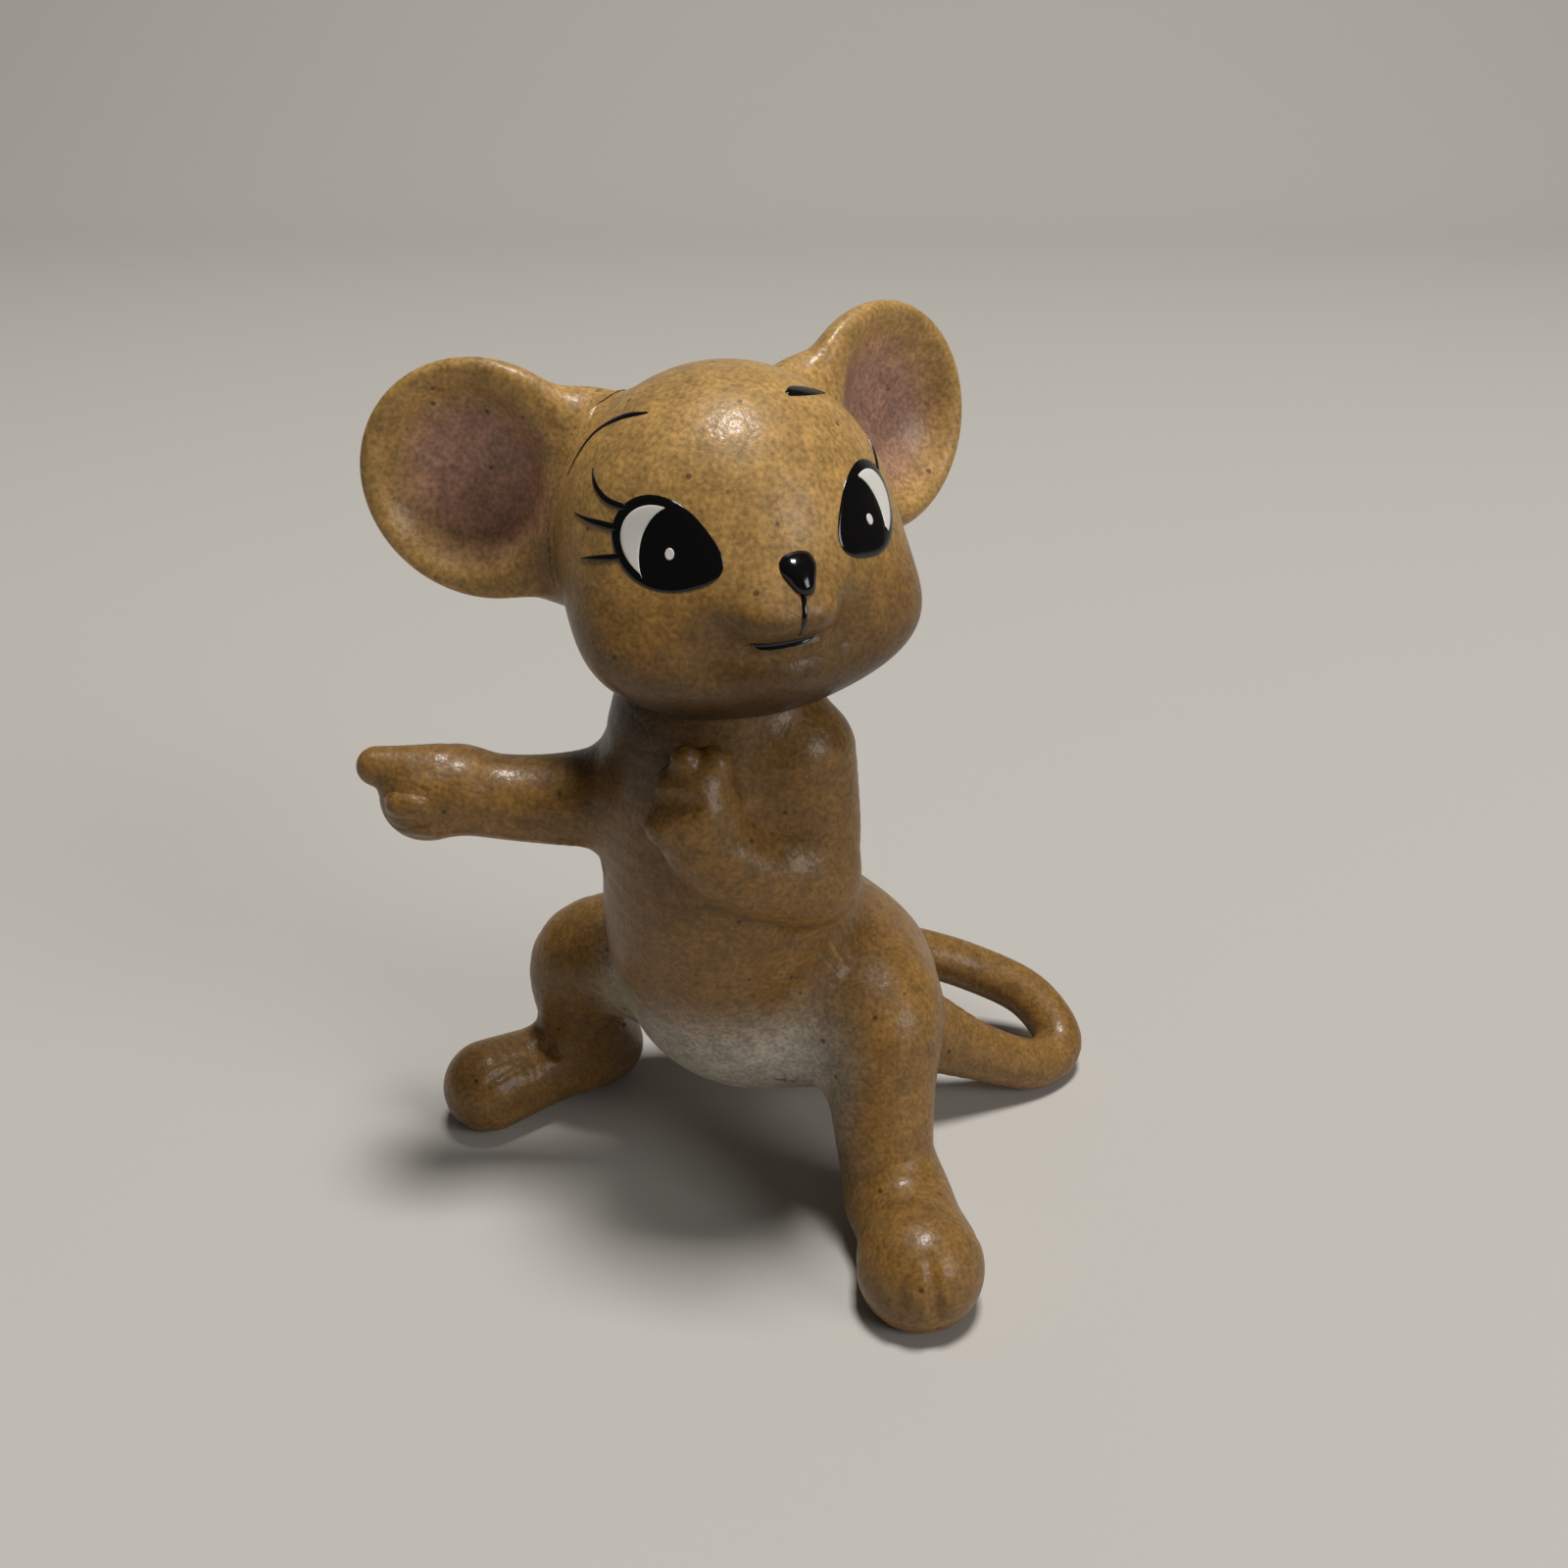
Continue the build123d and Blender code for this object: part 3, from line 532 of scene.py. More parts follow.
# Glaze: sizes of its patterns, the stretch of each that is used and the shades that it gives the tint
GRAIN_SIZE = 0.24
MOTTLE_SIZE = 0.9
CLOUD_SIZE = 4.0
SPECK_SPACING = 1.9
NOISE_DETAIL = 2.0
NOISE_STRETCH = (0.3, 0.7)
SPECK_STRETCH = (0.05, 0.09)
GRAIN_SHADES = (0.7, 1.3)
MOTTLE_SHADES = (0.82, 1.18)
CLOUD_SHADES = (0.88, 1.12)
SPECK_SHADES = (0.35, 1.0)

# Glaze relief and surface
GRAIN_RELIEF = 0.05
GRAIN_BUMP = 0.5
PEEL_RELIEF = 0.12
PEEL_BUMP = 0.4
GLAZE_SURFACE = {"Roughness": 0.46, "Specular IOR Level": 0.3, "Coat Weight": 0.18, "Coat Roughness": 0.17}

# Enamel: size and relief of the pools that the brush leaves, and its surface
POOL_SIZE = 0.5
POOL_RELIEF = 0.03
POOL_BUMP = 0.15
ENAMEL_ROUGHNESS = 0.12


def node(tree, kind, inputs=None, **settings):
    """Add one shader node; inputs are values or sockets by name."""
    made = tree.nodes.new(kind)
    for key, value in settings.items():
        setattr(made, key, value)
    for key, value in (inputs or {}).items():
        if isinstance(value, bpy.types.NodeSocket):
            tree.links.new(value, made.inputs[key])
        else:
            made.inputs[key].default_value = value
    return made


def new_material(name):
    """Empty material with its shader and output."""
    material = bpy.data.materials.new(name)
    material.use_nodes = True
    material.node_tree.nodes.clear()
    tree = material.node_tree
    shader = node(tree, "ShaderNodeBsdfPrincipled")
    node(tree, "ShaderNodeOutputMaterial", {"Surface": shader.outputs["BSDF"]})
    return material, tree, shader


def glaze_material():
    """Satin glaze over grained slip: the piece's tint, shaded by grain, mottling, clouds and dark specks.

    Grain, mottling and clouds are noises of three sizes, and the kiln specks lie at Voronoi seeds. Fine
    grain and an orange peel as wide as the mottling break the highlights into sparkles.
    """
    material, tree, shader = new_material("satin_brown_glaze")
    place = node(tree, "ShaderNodeTexCoord").outputs["Object"]
    tint = node(tree, "ShaderNodeAttribute", attribute_name="tint").outputs["Color"]
    noises = [node(tree, "ShaderNodeTexNoise", {"Vector": place, "Scale": 1 / (size * MM),
                                                "Detail": NOISE_DETAIL})
              for size in (GRAIN_SIZE, MOTTLE_SIZE, CLOUD_SIZE)]
    grain, mottle, cloud = (noise.outputs["Fac"] for noise in noises)
    specks = node(tree, "ShaderNodeTexVoronoi", {"Vector": place, "Scale": 1 / (SPECK_SPACING * MM)})
    shadings = [(grain, NOISE_STRETCH, GRAIN_SHADES),
                (mottle, NOISE_STRETCH, MOTTLE_SHADES),
                (cloud, NOISE_STRETCH, CLOUD_SHADES),
                (specks.outputs["Distance"], SPECK_STRETCH, SPECK_SHADES)]
    for pattern, (low, high), (weak, strong) in shadings:
        shade = node(tree, "ShaderNodeMapRange", {"Value": pattern, "From Min": low, "From Max": high,
                                                  "To Min": weak, "To Max": strong})
        shaded = node(tree, "ShaderNodeVectorMath", {0: tint, "Scale": shade.outputs["Result"]},
                      operation="SCALE")
        tint = shaded.outputs["Vector"]
    fine = node(tree, "ShaderNodeBump", {"Strength": GRAIN_BUMP, "Distance": GRAIN_RELIEF * MM,
                                         "Height": grain})
    peel = node(tree, "ShaderNodeBump", {"Strength": PEEL_BUMP, "Distance": PEEL_RELIEF * MM,
                                         "Height": mottle, "Normal": fine.outputs["Normal"]})
    tree.links.new(tint, shader.inputs["Base Color"])
    tree.links.new(peel.outputs["Normal"], shader.inputs["Normal"])
    tree.links.new(peel.outputs["Normal"], shader.inputs["Coat Normal"])
    for socket, value in GLAZE_SURFACE.items():
        shader.inputs[socket].default_value = value
    return material


def enamel_material(name, code):
    """Gloss enamel, brushed on thick enough to stand proud and shine, with shallow pools."""
    material, tree, shader = new_material(name)
    place = node(tree, "ShaderNodeTexCoord").outputs["Object"]
    pool = node(tree, "ShaderNodeTexNoise", {"Vector": place, "Scale": 1 / (POOL_SIZE * MM),
                                             "Detail": NOISE_DETAIL})
    bump = node(tree, "ShaderNodeBump", {"Strength": POOL_BUMP, "Distance": POOL_RELIEF * MM,
                                         "Height": pool.outputs["Fac"]})
    tree.links.new(bump.outputs["Normal"], shader.inputs["Normal"])
    shader.inputs["Base Color"].default_value = (*colour(code), 1)
    shader.inputs["Roughness"].default_value = ENAMEL_ROUGHNESS
    return material


glaze = glaze_material()
enamels = {slot: enamel_material("gloss_" + slot, code) for slot, code in ENAMEL_COLOURS.items()}


def clay_piece(name, islands, tint):
    """One piece of clay under the satin glaze, in place of the CAD node of that name."""
    make_piece(name + "_clay", islands, glaze, [name], tint)


def enamel_piece(name, islands, slot):
    """One coat of enamel, in place of the CAD node of that name."""
    make_piece(name + "_enamel", islands, enamels[slot], [name])


def leg_islands(side):
    """Haunch and shin grafted on the torso, and the foot with its toe grooves grafted on the shin."""
    leg = LEG[side]
    foot = FOOT[side]

    def shin_field(points):
        return on_table(points, graft(torso_field(points), roll_field(points, leg), LEG_BLEND[side]))

    def foot_field(points):
        ankle = roll_field(points, leg[-2:]) + GRAFT_SINK
        whole = graft(ankle, roll_field(points, foot), FOOT_BLEND)
        return on_table(points, dented(points, whole, FOOT_GROOVES[side]))

    return [skin_roll(shin_field, leg, UP, root_lean=155, rows=110, fan_rows=40, around=160),
            skin_roll(foot_field, foot, UP, root_lean=178, fan_rows=60, around=144)]


def right_arm_field(points):
    """Stretched arm with its fist and curled fingers, smoothed onto the shoulder."""
    arm = join(roll_field(points, RIGHT_ARM), roll_field(points, RIGHT_FIST, STRAIGHT), FIST_BLEND)
    arm = dented(points, arm, RIGHT_FIST_DENTS)
    for curl in RIGHT_CURLS:
        arm = join(arm, roll_field(points, curl, STRAIGHT), CURL_BLEND)
    return graft(torso_field(points), arm, ARM_BLEND[RIGHT])


def right_finger_field(points):
    """Pointing finger smoothed onto the fist."""
    fist = roll_field(points, RIGHT_FIST, STRAIGHT)
    return graft(fist, roll_field(points, RIGHT_FINGER, STRAIGHT), PAW_BLEND)


def upper_arm_field(points):
    """Left upper arm smoothed onto the shoulder."""
    return graft(torso_field(points), roll_field(points, LEFT_UPPER_ARM), ARM_BLEND[LEFT])


def forearm_field(points):
    """Left forearm and raised paw, with its fingers and curled thumb, smoothed onto the elbow."""
    arm = join(roll_field(points, LEFT_FOREARM), roll_field(points, LEFT_HAND, STRAIGHT), PAW_BLEND)
    for finger in LEFT_FINGERS:
        arm = join(arm, roll_field(points, finger, STRAIGHT), LEFT_FINGER_BLEND)
    arm = dented(points, arm, LEFT_HAND_DENTS)
    elbow = roll_field(points, LEFT_UPPER_ARM[1:]) + GRAFT_SINK
    return graft(elbow, arm, ELBOW_BLEND)


def tail_field(points):
    """Looped tail smoothed onto the rump and the left haunch."""
    body = join(torso_field(points), roll_field(points, LEG[LEFT]), LEG_BLEND[LEFT])
    return on_table(points, graft(body, roll_field(points, TAIL), TAIL_BLEND))


def arm_islands(side):
    """Right arm with its pointing finger, or left upper arm with its raised forearm."""
    if side == RIGHT:
        path = RIGHT_ARM[:-1] + RIGHT_FIST[1:]
        return [skin_roll(right_arm_field, path, UP, root_lean=140, rows=100, fan_rows=50, around=144),
                skin_roll(right_finger_field, RIGHT_FINGER, UP, root_lean=140, rows=30, around=64)]
    path = LEFT_FOREARM[:-1] + LEFT_HAND[:1]
    return [skin_roll(upper_arm_field, LEFT_UPPER_ARM, SIDEWAYS),
            skin_roll(forearm_field, path, SIDEWAYS, root_lean=178, fan_rows=80, around=144)]


# Body: the torso is shut below the belly and inside the head, and the limbs and tail start inside it
torso = skin_roll(torso_field, TORSO_SPINE, SIDEWAYS, root_lean=170, rows=110, around=128)
tail = skin_roll(tail_field, TAIL, UP, root_lean=120, rows=150, around=72)
clay_piece("torso", [torso], body_tint)
clay_piece("left_leg", leg_islands(LEFT), body_tint)
clay_piece("right_leg", leg_islands(RIGHT), body_tint)
clay_piece("right_arm", arm_islands(RIGHT), body_tint)
clay_piece("left_arm", arm_islands(LEFT), body_tint)
clay_piece("tail", [tail], body_tint)


def head_grid():
    """Rays from the head's centre to its skin: rows from the chin up and columns round it."""
    polar = np.linspace(math.pi, 0, HEAD_ROWS)[:, None, None]
    turn = np.linspace(0, math.tau, HEAD_COLUMNS, endpoint=False)[None, :, None]
    level = np.cos(turn) * HEAD_FORWARD + np.sin(turn) * HEAD_LEFT
    return head_skin(unit(np.sin(polar) * level + np.cos(polar) * HEAD_UP))


clay_piece("head", [ball_grid(head_grid())], head_tint)


def ear_axes(side):
    """Centre of an ear in the head's frame and its directions: outward, up along the rim and facing."""
    centre = np.array(EAR_PLACE[side])
    out = unit(centre)
    facing = np.array(EAR_FACING[side])
    facing = unit(facing - out * (facing @ out))
    return centre, np.array((out, np.cross(facing, out), facing))


def ear_local(points, side):
    """Points in an ear's own frame."""
    centre, axes = ear_axes(side)
    return (head_local(points) - centre) @ axes.T


def ear_field(points, side):
    """Pinched cup: a flat ball hollowed by another, with a rounded rim, smoothed onto the head."""
    local = ear_local(points, side)
    outer_radii = (EAR_RADIUS + EAR_STRETCH, EAR_RADIUS, EAR_HALF_DEPTH)
    outer = ball_field(local, (-EAR_STRETCH, 0, 0), outer_radii)
    hollow = ball_field(local, (EAR_CUP_SHIFT, 0, EAR_CUP_RISE), EAR_CUP_RADII)
    root = ball_field(local, EAR_ROOT_CENTRE, EAR_ROOT_RADII)
    cup = meet(join(outer, root, EAR_ROOT_BLEND), -hollow, EAR_LIP_ROUNDING)
    cup = meet(cup, local[..., 2] - EAR_FRONT_RISE, EAR_FRONT_ROUNDING)
    return graft(head_field(points), cup, EAR_BLEND)


def settle(field, points):
    """Points moved down a field's slope until they lie on its skin, by no more than a limit."""
    start = points
    probes = SETTLE_PROBE * np.array(((1, -1, -1), (-1, -1, 1), (-1, 1, -1), (1, 1, 1)))
    for _ in range(SETTLE_STEPS):
        value = field(points)
        rises = sum(probe * field(points + probe)[..., None] for probe in probes)
        slope = rises / (len(probes) * SETTLE_PROBE * SETTLE_PROBE)
        size = np.maximum((slope * slope).sum(-1), SETTLE_LEAST_SLOPE)
        points = points - (value / size)[..., None] * slope
        moved = points - start
        far = np.linalg.norm(moved, axis=-1, keepdims=True)
        points = start + moved * np.minimum(1, SETTLE_LIMIT / np.maximum(far, TINY))
    return points


def ear_dish(side):
    """Grid over an ear: rows from the middle of its back over the rim and the lip down into the cup.

    Columns turn round the ear. The back is half a flat ball, the cup a bowl and the lip a low arch
    between them; every point then settles on the ear's skin.
    """
    centre, axes = ear_axes(side)
    turn = np.linspace(0, math.tau, EAR_COLUMNS, endpoint=False)[None, :]
    turn = turn + EAR_CROWDING * np.sin(turn)
    edge = EAR_RADIUS * (1 + EAR_REACH_SHARE * bell((turn - math.pi) / EAR_REACH_FAN))
    back = np.linspace(-math.pi / 2, 0, EAR_ROWS)[:, None]
    lip = np.linspace(0, 1, EAR_LIP_ROWS)[1:-1, None]
    cup = np.linspace(EAR_CUP_LEAN, 0, EAR_ROWS)[:, None]
    rim = np.stack([edge * np.cos(turn), edge * np.sin(turn)])
    bowl = np.stack([np.cos(turn) * EAR_CUP_RADII[0], np.sin(turn) * EAR_CUP_RADII[1]])
    shift = np.array((EAR_CUP_SHIFT, 0))[:, None, None]
    brim = shift + bowl * np.sin(cup[0])
    bands = [rim * np.cos(back), rim + (brim - rim) * lip, shift + bowl * np.sin(cup)]
    flat = np.concatenate(bands, axis=1)
    bowl_rise = EAR_CUP_RISE - EAR_CUP_RADII[2] * np.cos(cup)
    lip_rise = bowl_rise[0] * lip + EAR_LIP_RISE * np.sin(lip * math.pi)
    rise = np.concatenate([EAR_HALF_DEPTH * np.sin(back), lip_rise, bowl_rise]) + 0 * turn
    dish = np.stack([flat[0], flat[1], rise], axis=-1) @ axes
    return settle(lambda points: ear_field(points, side), HEAD_CENTRE + (centre + dish) @ HEAD_AXES)


def ear_collar(side):
    """Rings of rays from a line through the ear's root, a hair under its skin, that back up the joint."""
    centre, axes = ear_axes(side)
    reach = np.linspace(*EAR_COLLAR_SPAN, EAR_COLLAR_ROWS)[:, None, None]
    angle = np.linspace(0, math.tau, EAR_COLLAR_COLUMNS, endpoint=False)[None, :, None]
    spots = (centre + reach * axes[0] + EAR_ROOT_CENTRE[2] * axes[2] + 0 * angle) @ HEAD_AXES + HEAD_CENTRE
    ways = (np.cos(angle) * axes[1] - np.sin(angle) * axes[2] + 0 * reach) @ HEAD_AXES
    rings = cast(lambda points: ear_field(points, side) + EAR_COLLAR_SINK, spots, ways)
    last = np.broadcast_to(rings[-1].mean(0), rings[:1].shape)
    return closed_grid(np.vstack([rings, last]), rings[0].mean(0))


def ear_tint(side):
    """Tint of an ear: pink in the cup, head glaze on rim and back, the head's own colours at the root."""
    def tint(points):
        local = ear_local(points, side)
        reach = np.hypot(local[..., 0], local[..., 1])
        front = local[..., 2] > -EAR_FRONT_DEPTH * np.sqrt(np.clip(1 - (reach / EAR_RADIUS) ** 2, 0, 1))
        base = np.broadcast_to(colour(GLAZE_HEAD), points.shape)
        near = 1 - ease(head_field(points), *EAR_ROOT_FADE)
        base = base + (head_colours(points) - base) * near[..., None]
        return with_alpha(mixed(base, EAR_PINK, front * (1 - ease(reach, *EAR_PINK_FADE))))
    return tint


for side, word in SIDES.items():
    clay_piece(word + "_ear", [ball_grid(ear_dish(side)), ear_collar(side)], ear_tint(side))

# Enamel coats: dome over an eye, sink of a mark's edge and underside, lift of marks, and the brush's strokes
ENAMEL = 0.12
DOME_POWER = 6
EDGE_SINK = 0.06
UNDERSIDE_SINK = 0.25
MARK_LIFT = 0.03
STROKE_LIFT = 0.07
STROKE_STEPS = 20
STROKE_UNDERSIDE = 0.8
STROKE_END_SHARE = 0.3

# Eyes: size, lean and place of the painted almonds
EYE_TURN = {LEFT: 42.5, RIGHT: 40.5}
EYE_HEIGHT = 2.5
EYE_HALF_LENGTH = 2.85
EYE_HALF_HEIGHT = 1.9
EYE_LEAN = math.radians(15)
EYE_CORNER = math.radians(197)
EYE_CORNER_SHARE = 0.16
EYE_CORNER_FAN = 0.35
EYE_ARC = 8.2

# Whites and glints: the white's ends by angle, its outer edge, the pupil that it goes round and the glint
WHITE_START = math.radians(-62)
WHITE_END = math.radians(100)
WHITE_EDGE_SHARE = 0.76
WHITE_EDGE_SINK = 0.01
PUPIL_MIDDLE = {LEFT: (-1.25, -0.3), RIGHT: (-0.95, -0.42)}
PUPIL_RADIUS = 1.95
LEAST_SQUARE = 0.01
GLINT_PLACE = (-0.55, -0.4)
GLINT_RADIUS = 0.26

# Brush strokes: turns from the nose, heights and widths along each
LASHES = {
    LEFT: [((60, 64, 68, 71), (3.6, 3.9, 4.25, 4.6), (0.28, 0.26, 0.18, 0.05))],
    RIGHT: [((-55, -64, -72, -78), (3.8, 4.0, 4.45, 5.0), (0.3, 0.3, 0.2, 0.05)),
            ((-57, -64, -72, -80), (2.95, 3.0, 3.02, 3.1), (0.34, 0.34, 0.24, 0.05)),
            ((-54, -60, -66, -72), (1.85, 1.7, 1.55, 1.38), (0.3, 0.3, 0.22, 0.05))],
}
BROWS = {
    LEFT: ((36, 48, 62, 76), (7.4, 7.35, 7.1, 6.7), (0.16, 0.4, 0.34, 0.06)),
    RIGHT: ((-102, -100, -95, -81, -62), (4.0, 5.1, 6.1, 6.85, 7.2), (0.06, 0.14, 0.2, 0.24, 0.06)),
}
LIP_LINE = ((-14, -8, 0, 6, 11), (-1.9, -2.0, -2.02, -2.0, -1.93), (0.08, 0.5, 0.56, 0.46, 0.08))
LIP_CLEFT = ((2.4, 1.8, 0.8, 0.2), (0.9, 0.3, -0.5, -1.3), (0.3, 0.24, 0.2, 0.05))

# Nose: a bead of black enamel shaped like a rounded triangle with its tip down
NOSE_TURN = 3.2
NOSE_HEIGHT = 1.3
NOSE_HALF_WIDTH = 0.88
NOSE_HALF_HEIGHT = 0.82
NOSE_RISE = 0.62
NOSE_SINK = 0.15
NOSE_CORNER_SHARE = 0.12
NOSE_TOP_SHARE = 0.06
NOSE_TOP_FAN = 0.5
NOSE_DOME_POWERS = (2.4, 0.6)


def on_head(turn, height, lift):
    """Places on the head's skin by turn from the nose and height, raised by a lift."""
    radius = head_radius(turn, height)
    angle = np.radians(turn)[..., None]
    flat = radius[..., None] * (np.cos(angle) * HEAD_FORWARD + np.sin(angle) * HEAD_LEFT)
    places = flat + height[..., None] * HEAD_UP
    return HEAD_CENTRE + places + np.asarray(lift)[..., None] * unit(places)


def eye_edge(angle):
    """Distance of an eye's edge from its middle: an oval with a pointed inner corner."""
    leaned = angle - EYE_LEAN
    oval = 1 / np.hypot(np.cos(leaned) / EYE_HALF_LENGTH, np.sin(leaned) / EYE_HALF_HEIGHT)
    away = (angle - EYE_CORNER + math.pi) % math.tau - math.pi
    return oval * (1 + EYE_CORNER_SHARE * bell(away / EYE_CORNER_FAN))


def glint_edge(angle):
    """Distance of a glint's edge from its middle: a circle."""
    return GLINT_RADIUS + 0 * angle


def on_eye(side, out, up, lift):
    """Places by distance outward and upward from the middle of an eye, on its domed enamel."""
    share = np.hypot(out, up) / eye_edge(np.arctan2(up, out))
    dome = ENAMEL * (1 - np.clip(share, 0, 1) ** DOME_POWER)
    return on_head(side * (EYE_TURN[side] + np.degrees(out / EYE_ARC)), EYE_HEIGHT + up, dome + lift)


def patch(points, side):
    """Points and faces of a mark with rings from its edge to its middle, shut under the skin."""
    if side == RIGHT:
        points = points[:, ::-1]
    inner = points[-1].mean(0)
    inner = inner + (HEAD_CENTRE - inner) * UNDERSIDE_SINK / np.linalg.norm(HEAD_CENTRE - inner)
    return closed_grid(points, inner)


def oval_mark(side, middle, edge, lift, rings=24, columns=96):
    """Rings from the edge of a mark to its middle, domed over the eye."""
    share = np.linspace(1, 0, rings)[:, None]
    angle = np.linspace(0, math.tau, columns, endpoint=False)[None, :]
    reach = share * edge(angle)
    out = middle[0] + reach * np.cos(angle)
    up = middle[1] + reach * np.sin(angle)
    return patch(on_eye(side, out, up, np.where(share == 1, -EDGE_SINK, lift) + 0 * angle), side)


def stroke(turns, heights, widths, lift=STROKE_LIFT, rows=60, columns=16):
    """Brush stroke: a domed ribbon carried along a path of turns and heights, with its own widths."""
    path = smooth_path(np.stack([turns, heights, widths], axis=1), STROKE_STEPS)
    spot = np.linspace(0, len(path) - 1, rows)
    turn, height, width = (np.interp(spot, np.arange(len(path)), path[:, k]) for k in range(3))
    arc = math.radians(1) * head_radius(turn, height)
    way = unit(np.stack([np.gradient(turn) * arc, np.gradient(height)], axis=1))
    angle = np.linspace(0, math.tau, columns, endpoint=False)[None, :]
    across = np.cos(angle) * width[:, None] / 2
    body = np.minimum(1, width / width.max() + STROKE_END_SHARE)[:, None]
    rise = lift * np.maximum(np.sin(angle), -STROKE_UNDERSIDE) * body
    spread_turn = turn[:, None] - across * way[:, 1:] / arc[:, None]
    points = on_head(spread_turn, height[:, None] + across * way[:, :1], rise)
    return closed_grid(points, points[0].mean(0))


def crescent(side, rows=60, columns=14):
    """White of an eye: between the ring of black and the round pupil, widest on the outer upper side."""
    angle = np.linspace(WHITE_START, WHITE_END, rows)[:, None]
    share = np.linspace(0, 1, columns)[None, :]
    outer = WHITE_EDGE_SHARE * eye_edge(angle)
    middle = np.array(PUPIL_MIDDLE[side])
    along = np.cos(angle) * middle[0] + np.sin(angle) * middle[1]
    inner = along + np.sqrt(np.maximum(PUPIL_RADIUS ** 2 - middle @ middle + along ** 2, LEAST_SQUARE))
    reach = inner + np.maximum(outer - inner, 0) * share
    lift = np.where((share == 0) | (share == 1), -WHITE_EDGE_SINK, MARK_LIFT) + 0 * angle
    points = on_eye(side, reach * np.cos(angle), reach * np.sin(angle), lift)
    return open_grid(points if side == RIGHT else points[:, ::-1])


def nose_bead(rings=28, columns=72):
    """Rings from the edge of a rounded triangle to its middle; the rise is a flat-topped dome."""
    share = np.linspace(1, 0, rings)[:, None]
    angle = np.linspace(0, math.tau, columns, endpoint=False)[None, :]
    corners = NOSE_CORNER_SHARE * np.cos(3 * (angle + math.pi / 2))
    edge = 1 + corners + NOSE_TOP_SHARE * bell((angle - math.pi / 2) / NOSE_TOP_FAN)
    out = share * edge * np.cos(angle) * NOSE_HALF_WIDTH
    up = share * edge * np.sin(angle) * NOSE_HALF_HEIGHT
    dome = (1 - share ** NOSE_DOME_POWERS[0]) ** NOSE_DOME_POWERS[1]
    arc = math.radians(1) * head_radius(np.array(NOSE_TURN), np.array(NOSE_HEIGHT))
    rise = NOSE_RISE * dome - NOSE_SINK + 0 * angle
    return patch(on_head(NOSE_TURN + out / arc, NOSE_HEIGHT + up, rise), LEFT)


for side, word in SIDES.items():
    lashes = [stroke(*lash) for lash in LASHES[side]]
    glint = oval_mark(side, GLINT_PLACE, glint_edge, MARK_LIFT, rings=8, columns=24)
    enamel_piece(word + "_eye_black", [oval_mark(side, (0, 0), eye_edge, 0)] + lashes, "black_enamel")
    enamel_piece(word + "_eye_white", [crescent(side)], "white_enamel")
    enamel_piece(word + "_eye_glint", [glint], "white_enamel")
    enamel_piece(word + "_brow", [stroke(*BROWS[side])], "black_enamel")
enamel_piece("mouth_line", [stroke(*LIP_LINE, MARK_LIFT), stroke(*LIP_CLEFT, MARK_LIFT)], "black_enamel")
enamel_piece("nose", [nose_bead()], "black_enamel")

# Stage: a pale floor with a swept backdrop, soft lamps and a camera at the photograph's place
BOARD_COLOUR = "bab5ad"
BOARD_ROUGHNESS = 0.9
FLOOR_HALF_WIDTH = 900
FLOOR_HALF_RUN = 400
SWEEP_RUN = 260
SWEEP_RISE = 500
FLOOR_ROWS = 40
LAMP_AIM = (0, 0, 20)
ROOM_COLOUR = "d8dcde"
ROOM_STRENGTH = 0.06
CAMERA_PLACE = (29.56, -68.36, 60.0)
CAMERA_TILT = math.radians(63.1)
CAMERA_TURN = math.radians(22.0)
CAMERA_LENS = 35.03
CAMERA_SENSOR = 36.0
CAMERA_NEAR = 1

# Lamps: place, side and watts of each
LAMPS = {"key": ((60, 20, 900), 180, 7.0), "fill": ((620, -160, 330), 300, 1.7)}


def board_material():
    """Matt pale board, which shows no highlight."""
    material, _, shader = new_material("matt_pale_board")
    shader.inputs["Base Color"].default_value = (*colour(BOARD_COLOUR), 1)
    shader.inputs["Roughness"].default_value = BOARD_ROUGHNESS
    return material


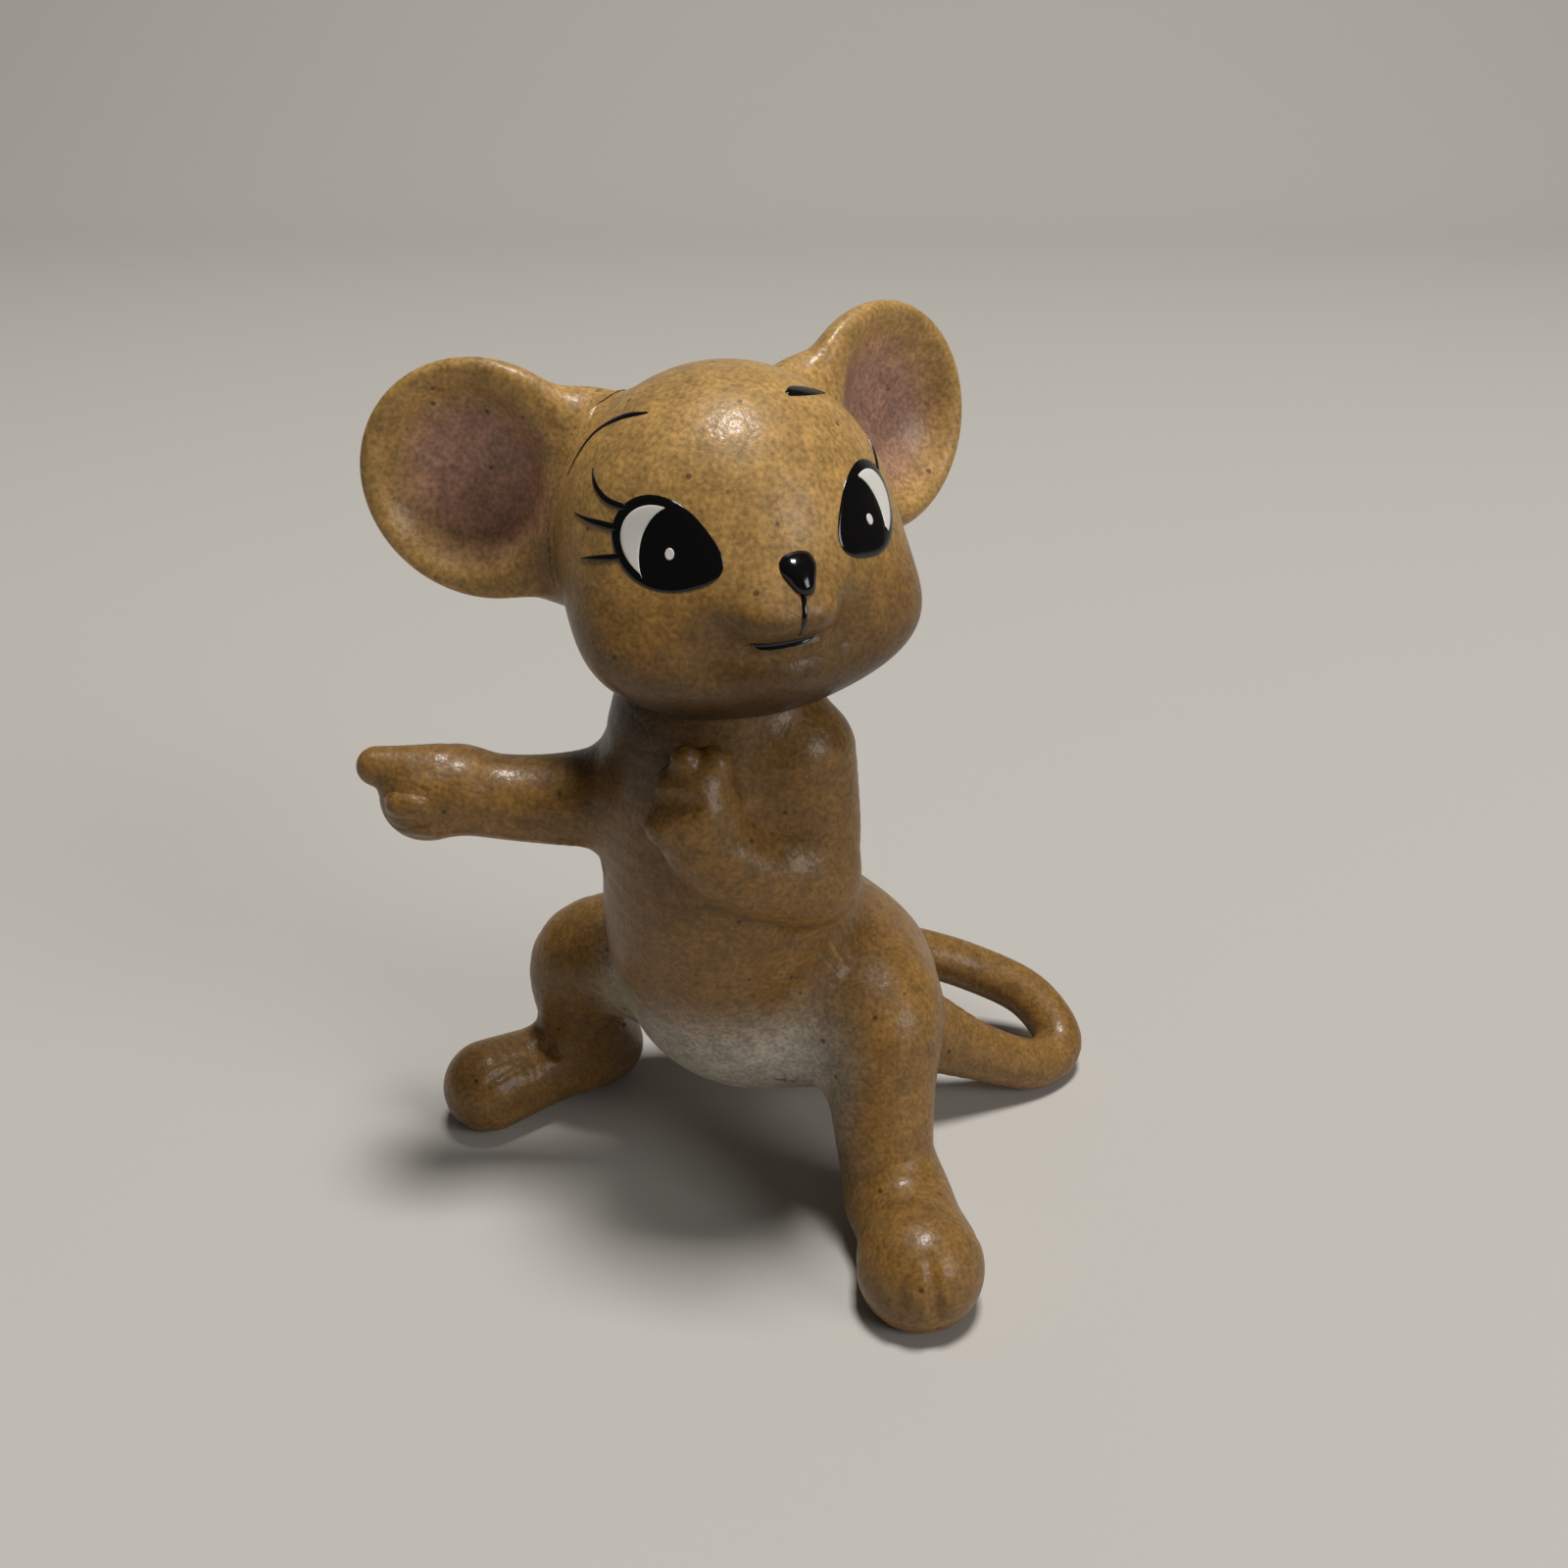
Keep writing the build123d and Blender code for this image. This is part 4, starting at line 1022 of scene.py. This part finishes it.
def add_floor():
    """Floor that runs flat under the figure, then sweeps up into a backdrop along part of an oval."""
    across = np.array((-FLOOR_HALF_WIDTH, FLOOR_HALF_WIDTH))[None, :]
    share = np.linspace(0, 1, FLOOR_ROWS)[:, None]
    sweep = (share - 0.5) * math.pi
    flat_run = FLOOR_HALF_RUN * (4 * share - 1)
    run = np.where(share < 0.5, flat_run, FLOOR_HALF_RUN + SWEEP_RUN * np.sin(sweep))
    rise = np.where(share < 0.5, 0, SWEEP_RISE * (1 - np.cos(sweep)))
    x = across * math.cos(CAMERA_TURN) - run * math.sin(CAMERA_TURN)
    y = across * math.sin(CAMERA_TURN) + run * math.cos(CAMERA_TURN)
    points, groups = open_grid(np.stack([x, y, rise + 0 * across], axis=-1))
    mesh = bpy.data.meshes.new("floor")
    mesh.from_pydata((points * MM).tolist(), [], groups[0].tolist())
    mesh.polygons.foreach_set("use_smooth", np.ones(len(mesh.polygons), bool))
    mesh.materials.append(board_material())
    floor = bpy.data.objects.new("floor", mesh)
    bpy.context.scene.collection.objects.link(floor)


def add_lamp(name, place, size, power):
    """Soft square lamp at a place, turned to the figure; the power is in watts."""
    lamp = bpy.data.lights.new(name, "AREA")
    lamp.size = size * MM
    lamp.energy = power
    holder = bpy.data.objects.new(name, lamp)
    bpy.context.scene.collection.objects.link(holder)
    x, y, z = (aim - spot for aim, spot in zip(LAMP_AIM, place))
    holder.location = [value * MM for value in place]
    holder.rotation_euler = (math.atan2(math.hypot(x, y), -z), 0, math.atan2(-x, y))


def add_room():
    """Faint even light of a pale room."""
    world = bpy.data.worlds.new("soft_room")
    world.use_nodes = True
    background = world.node_tree.nodes["Background"]
    background.inputs["Color"].default_value = (*colour(ROOM_COLOUR), 1)
    background.inputs["Strength"].default_value = ROOM_STRENGTH
    bpy.context.scene.world = world


def add_camera():
    """Camera at the photograph's place."""
    camera = bpy.data.cameras.new("camera")
    camera.lens = CAMERA_LENS
    camera.sensor_width = CAMERA_SENSOR
    camera.clip_start = CAMERA_NEAR * MM
    holder = bpy.data.objects.new("camera", camera)
    holder.location = [value * MM for value in CAMERA_PLACE]
    holder.rotation_euler = (CAMERA_TILT, 0, CAMERA_TURN)
    bpy.context.scene.collection.objects.link(holder)
    bpy.context.scene.camera = holder


add_floor()
for name, (place, size, power) in LAMPS.items():
    add_lamp(name, place, size, power)
add_room()
add_camera()
bpy.context.scene.view_settings.view_transform = "Standard"
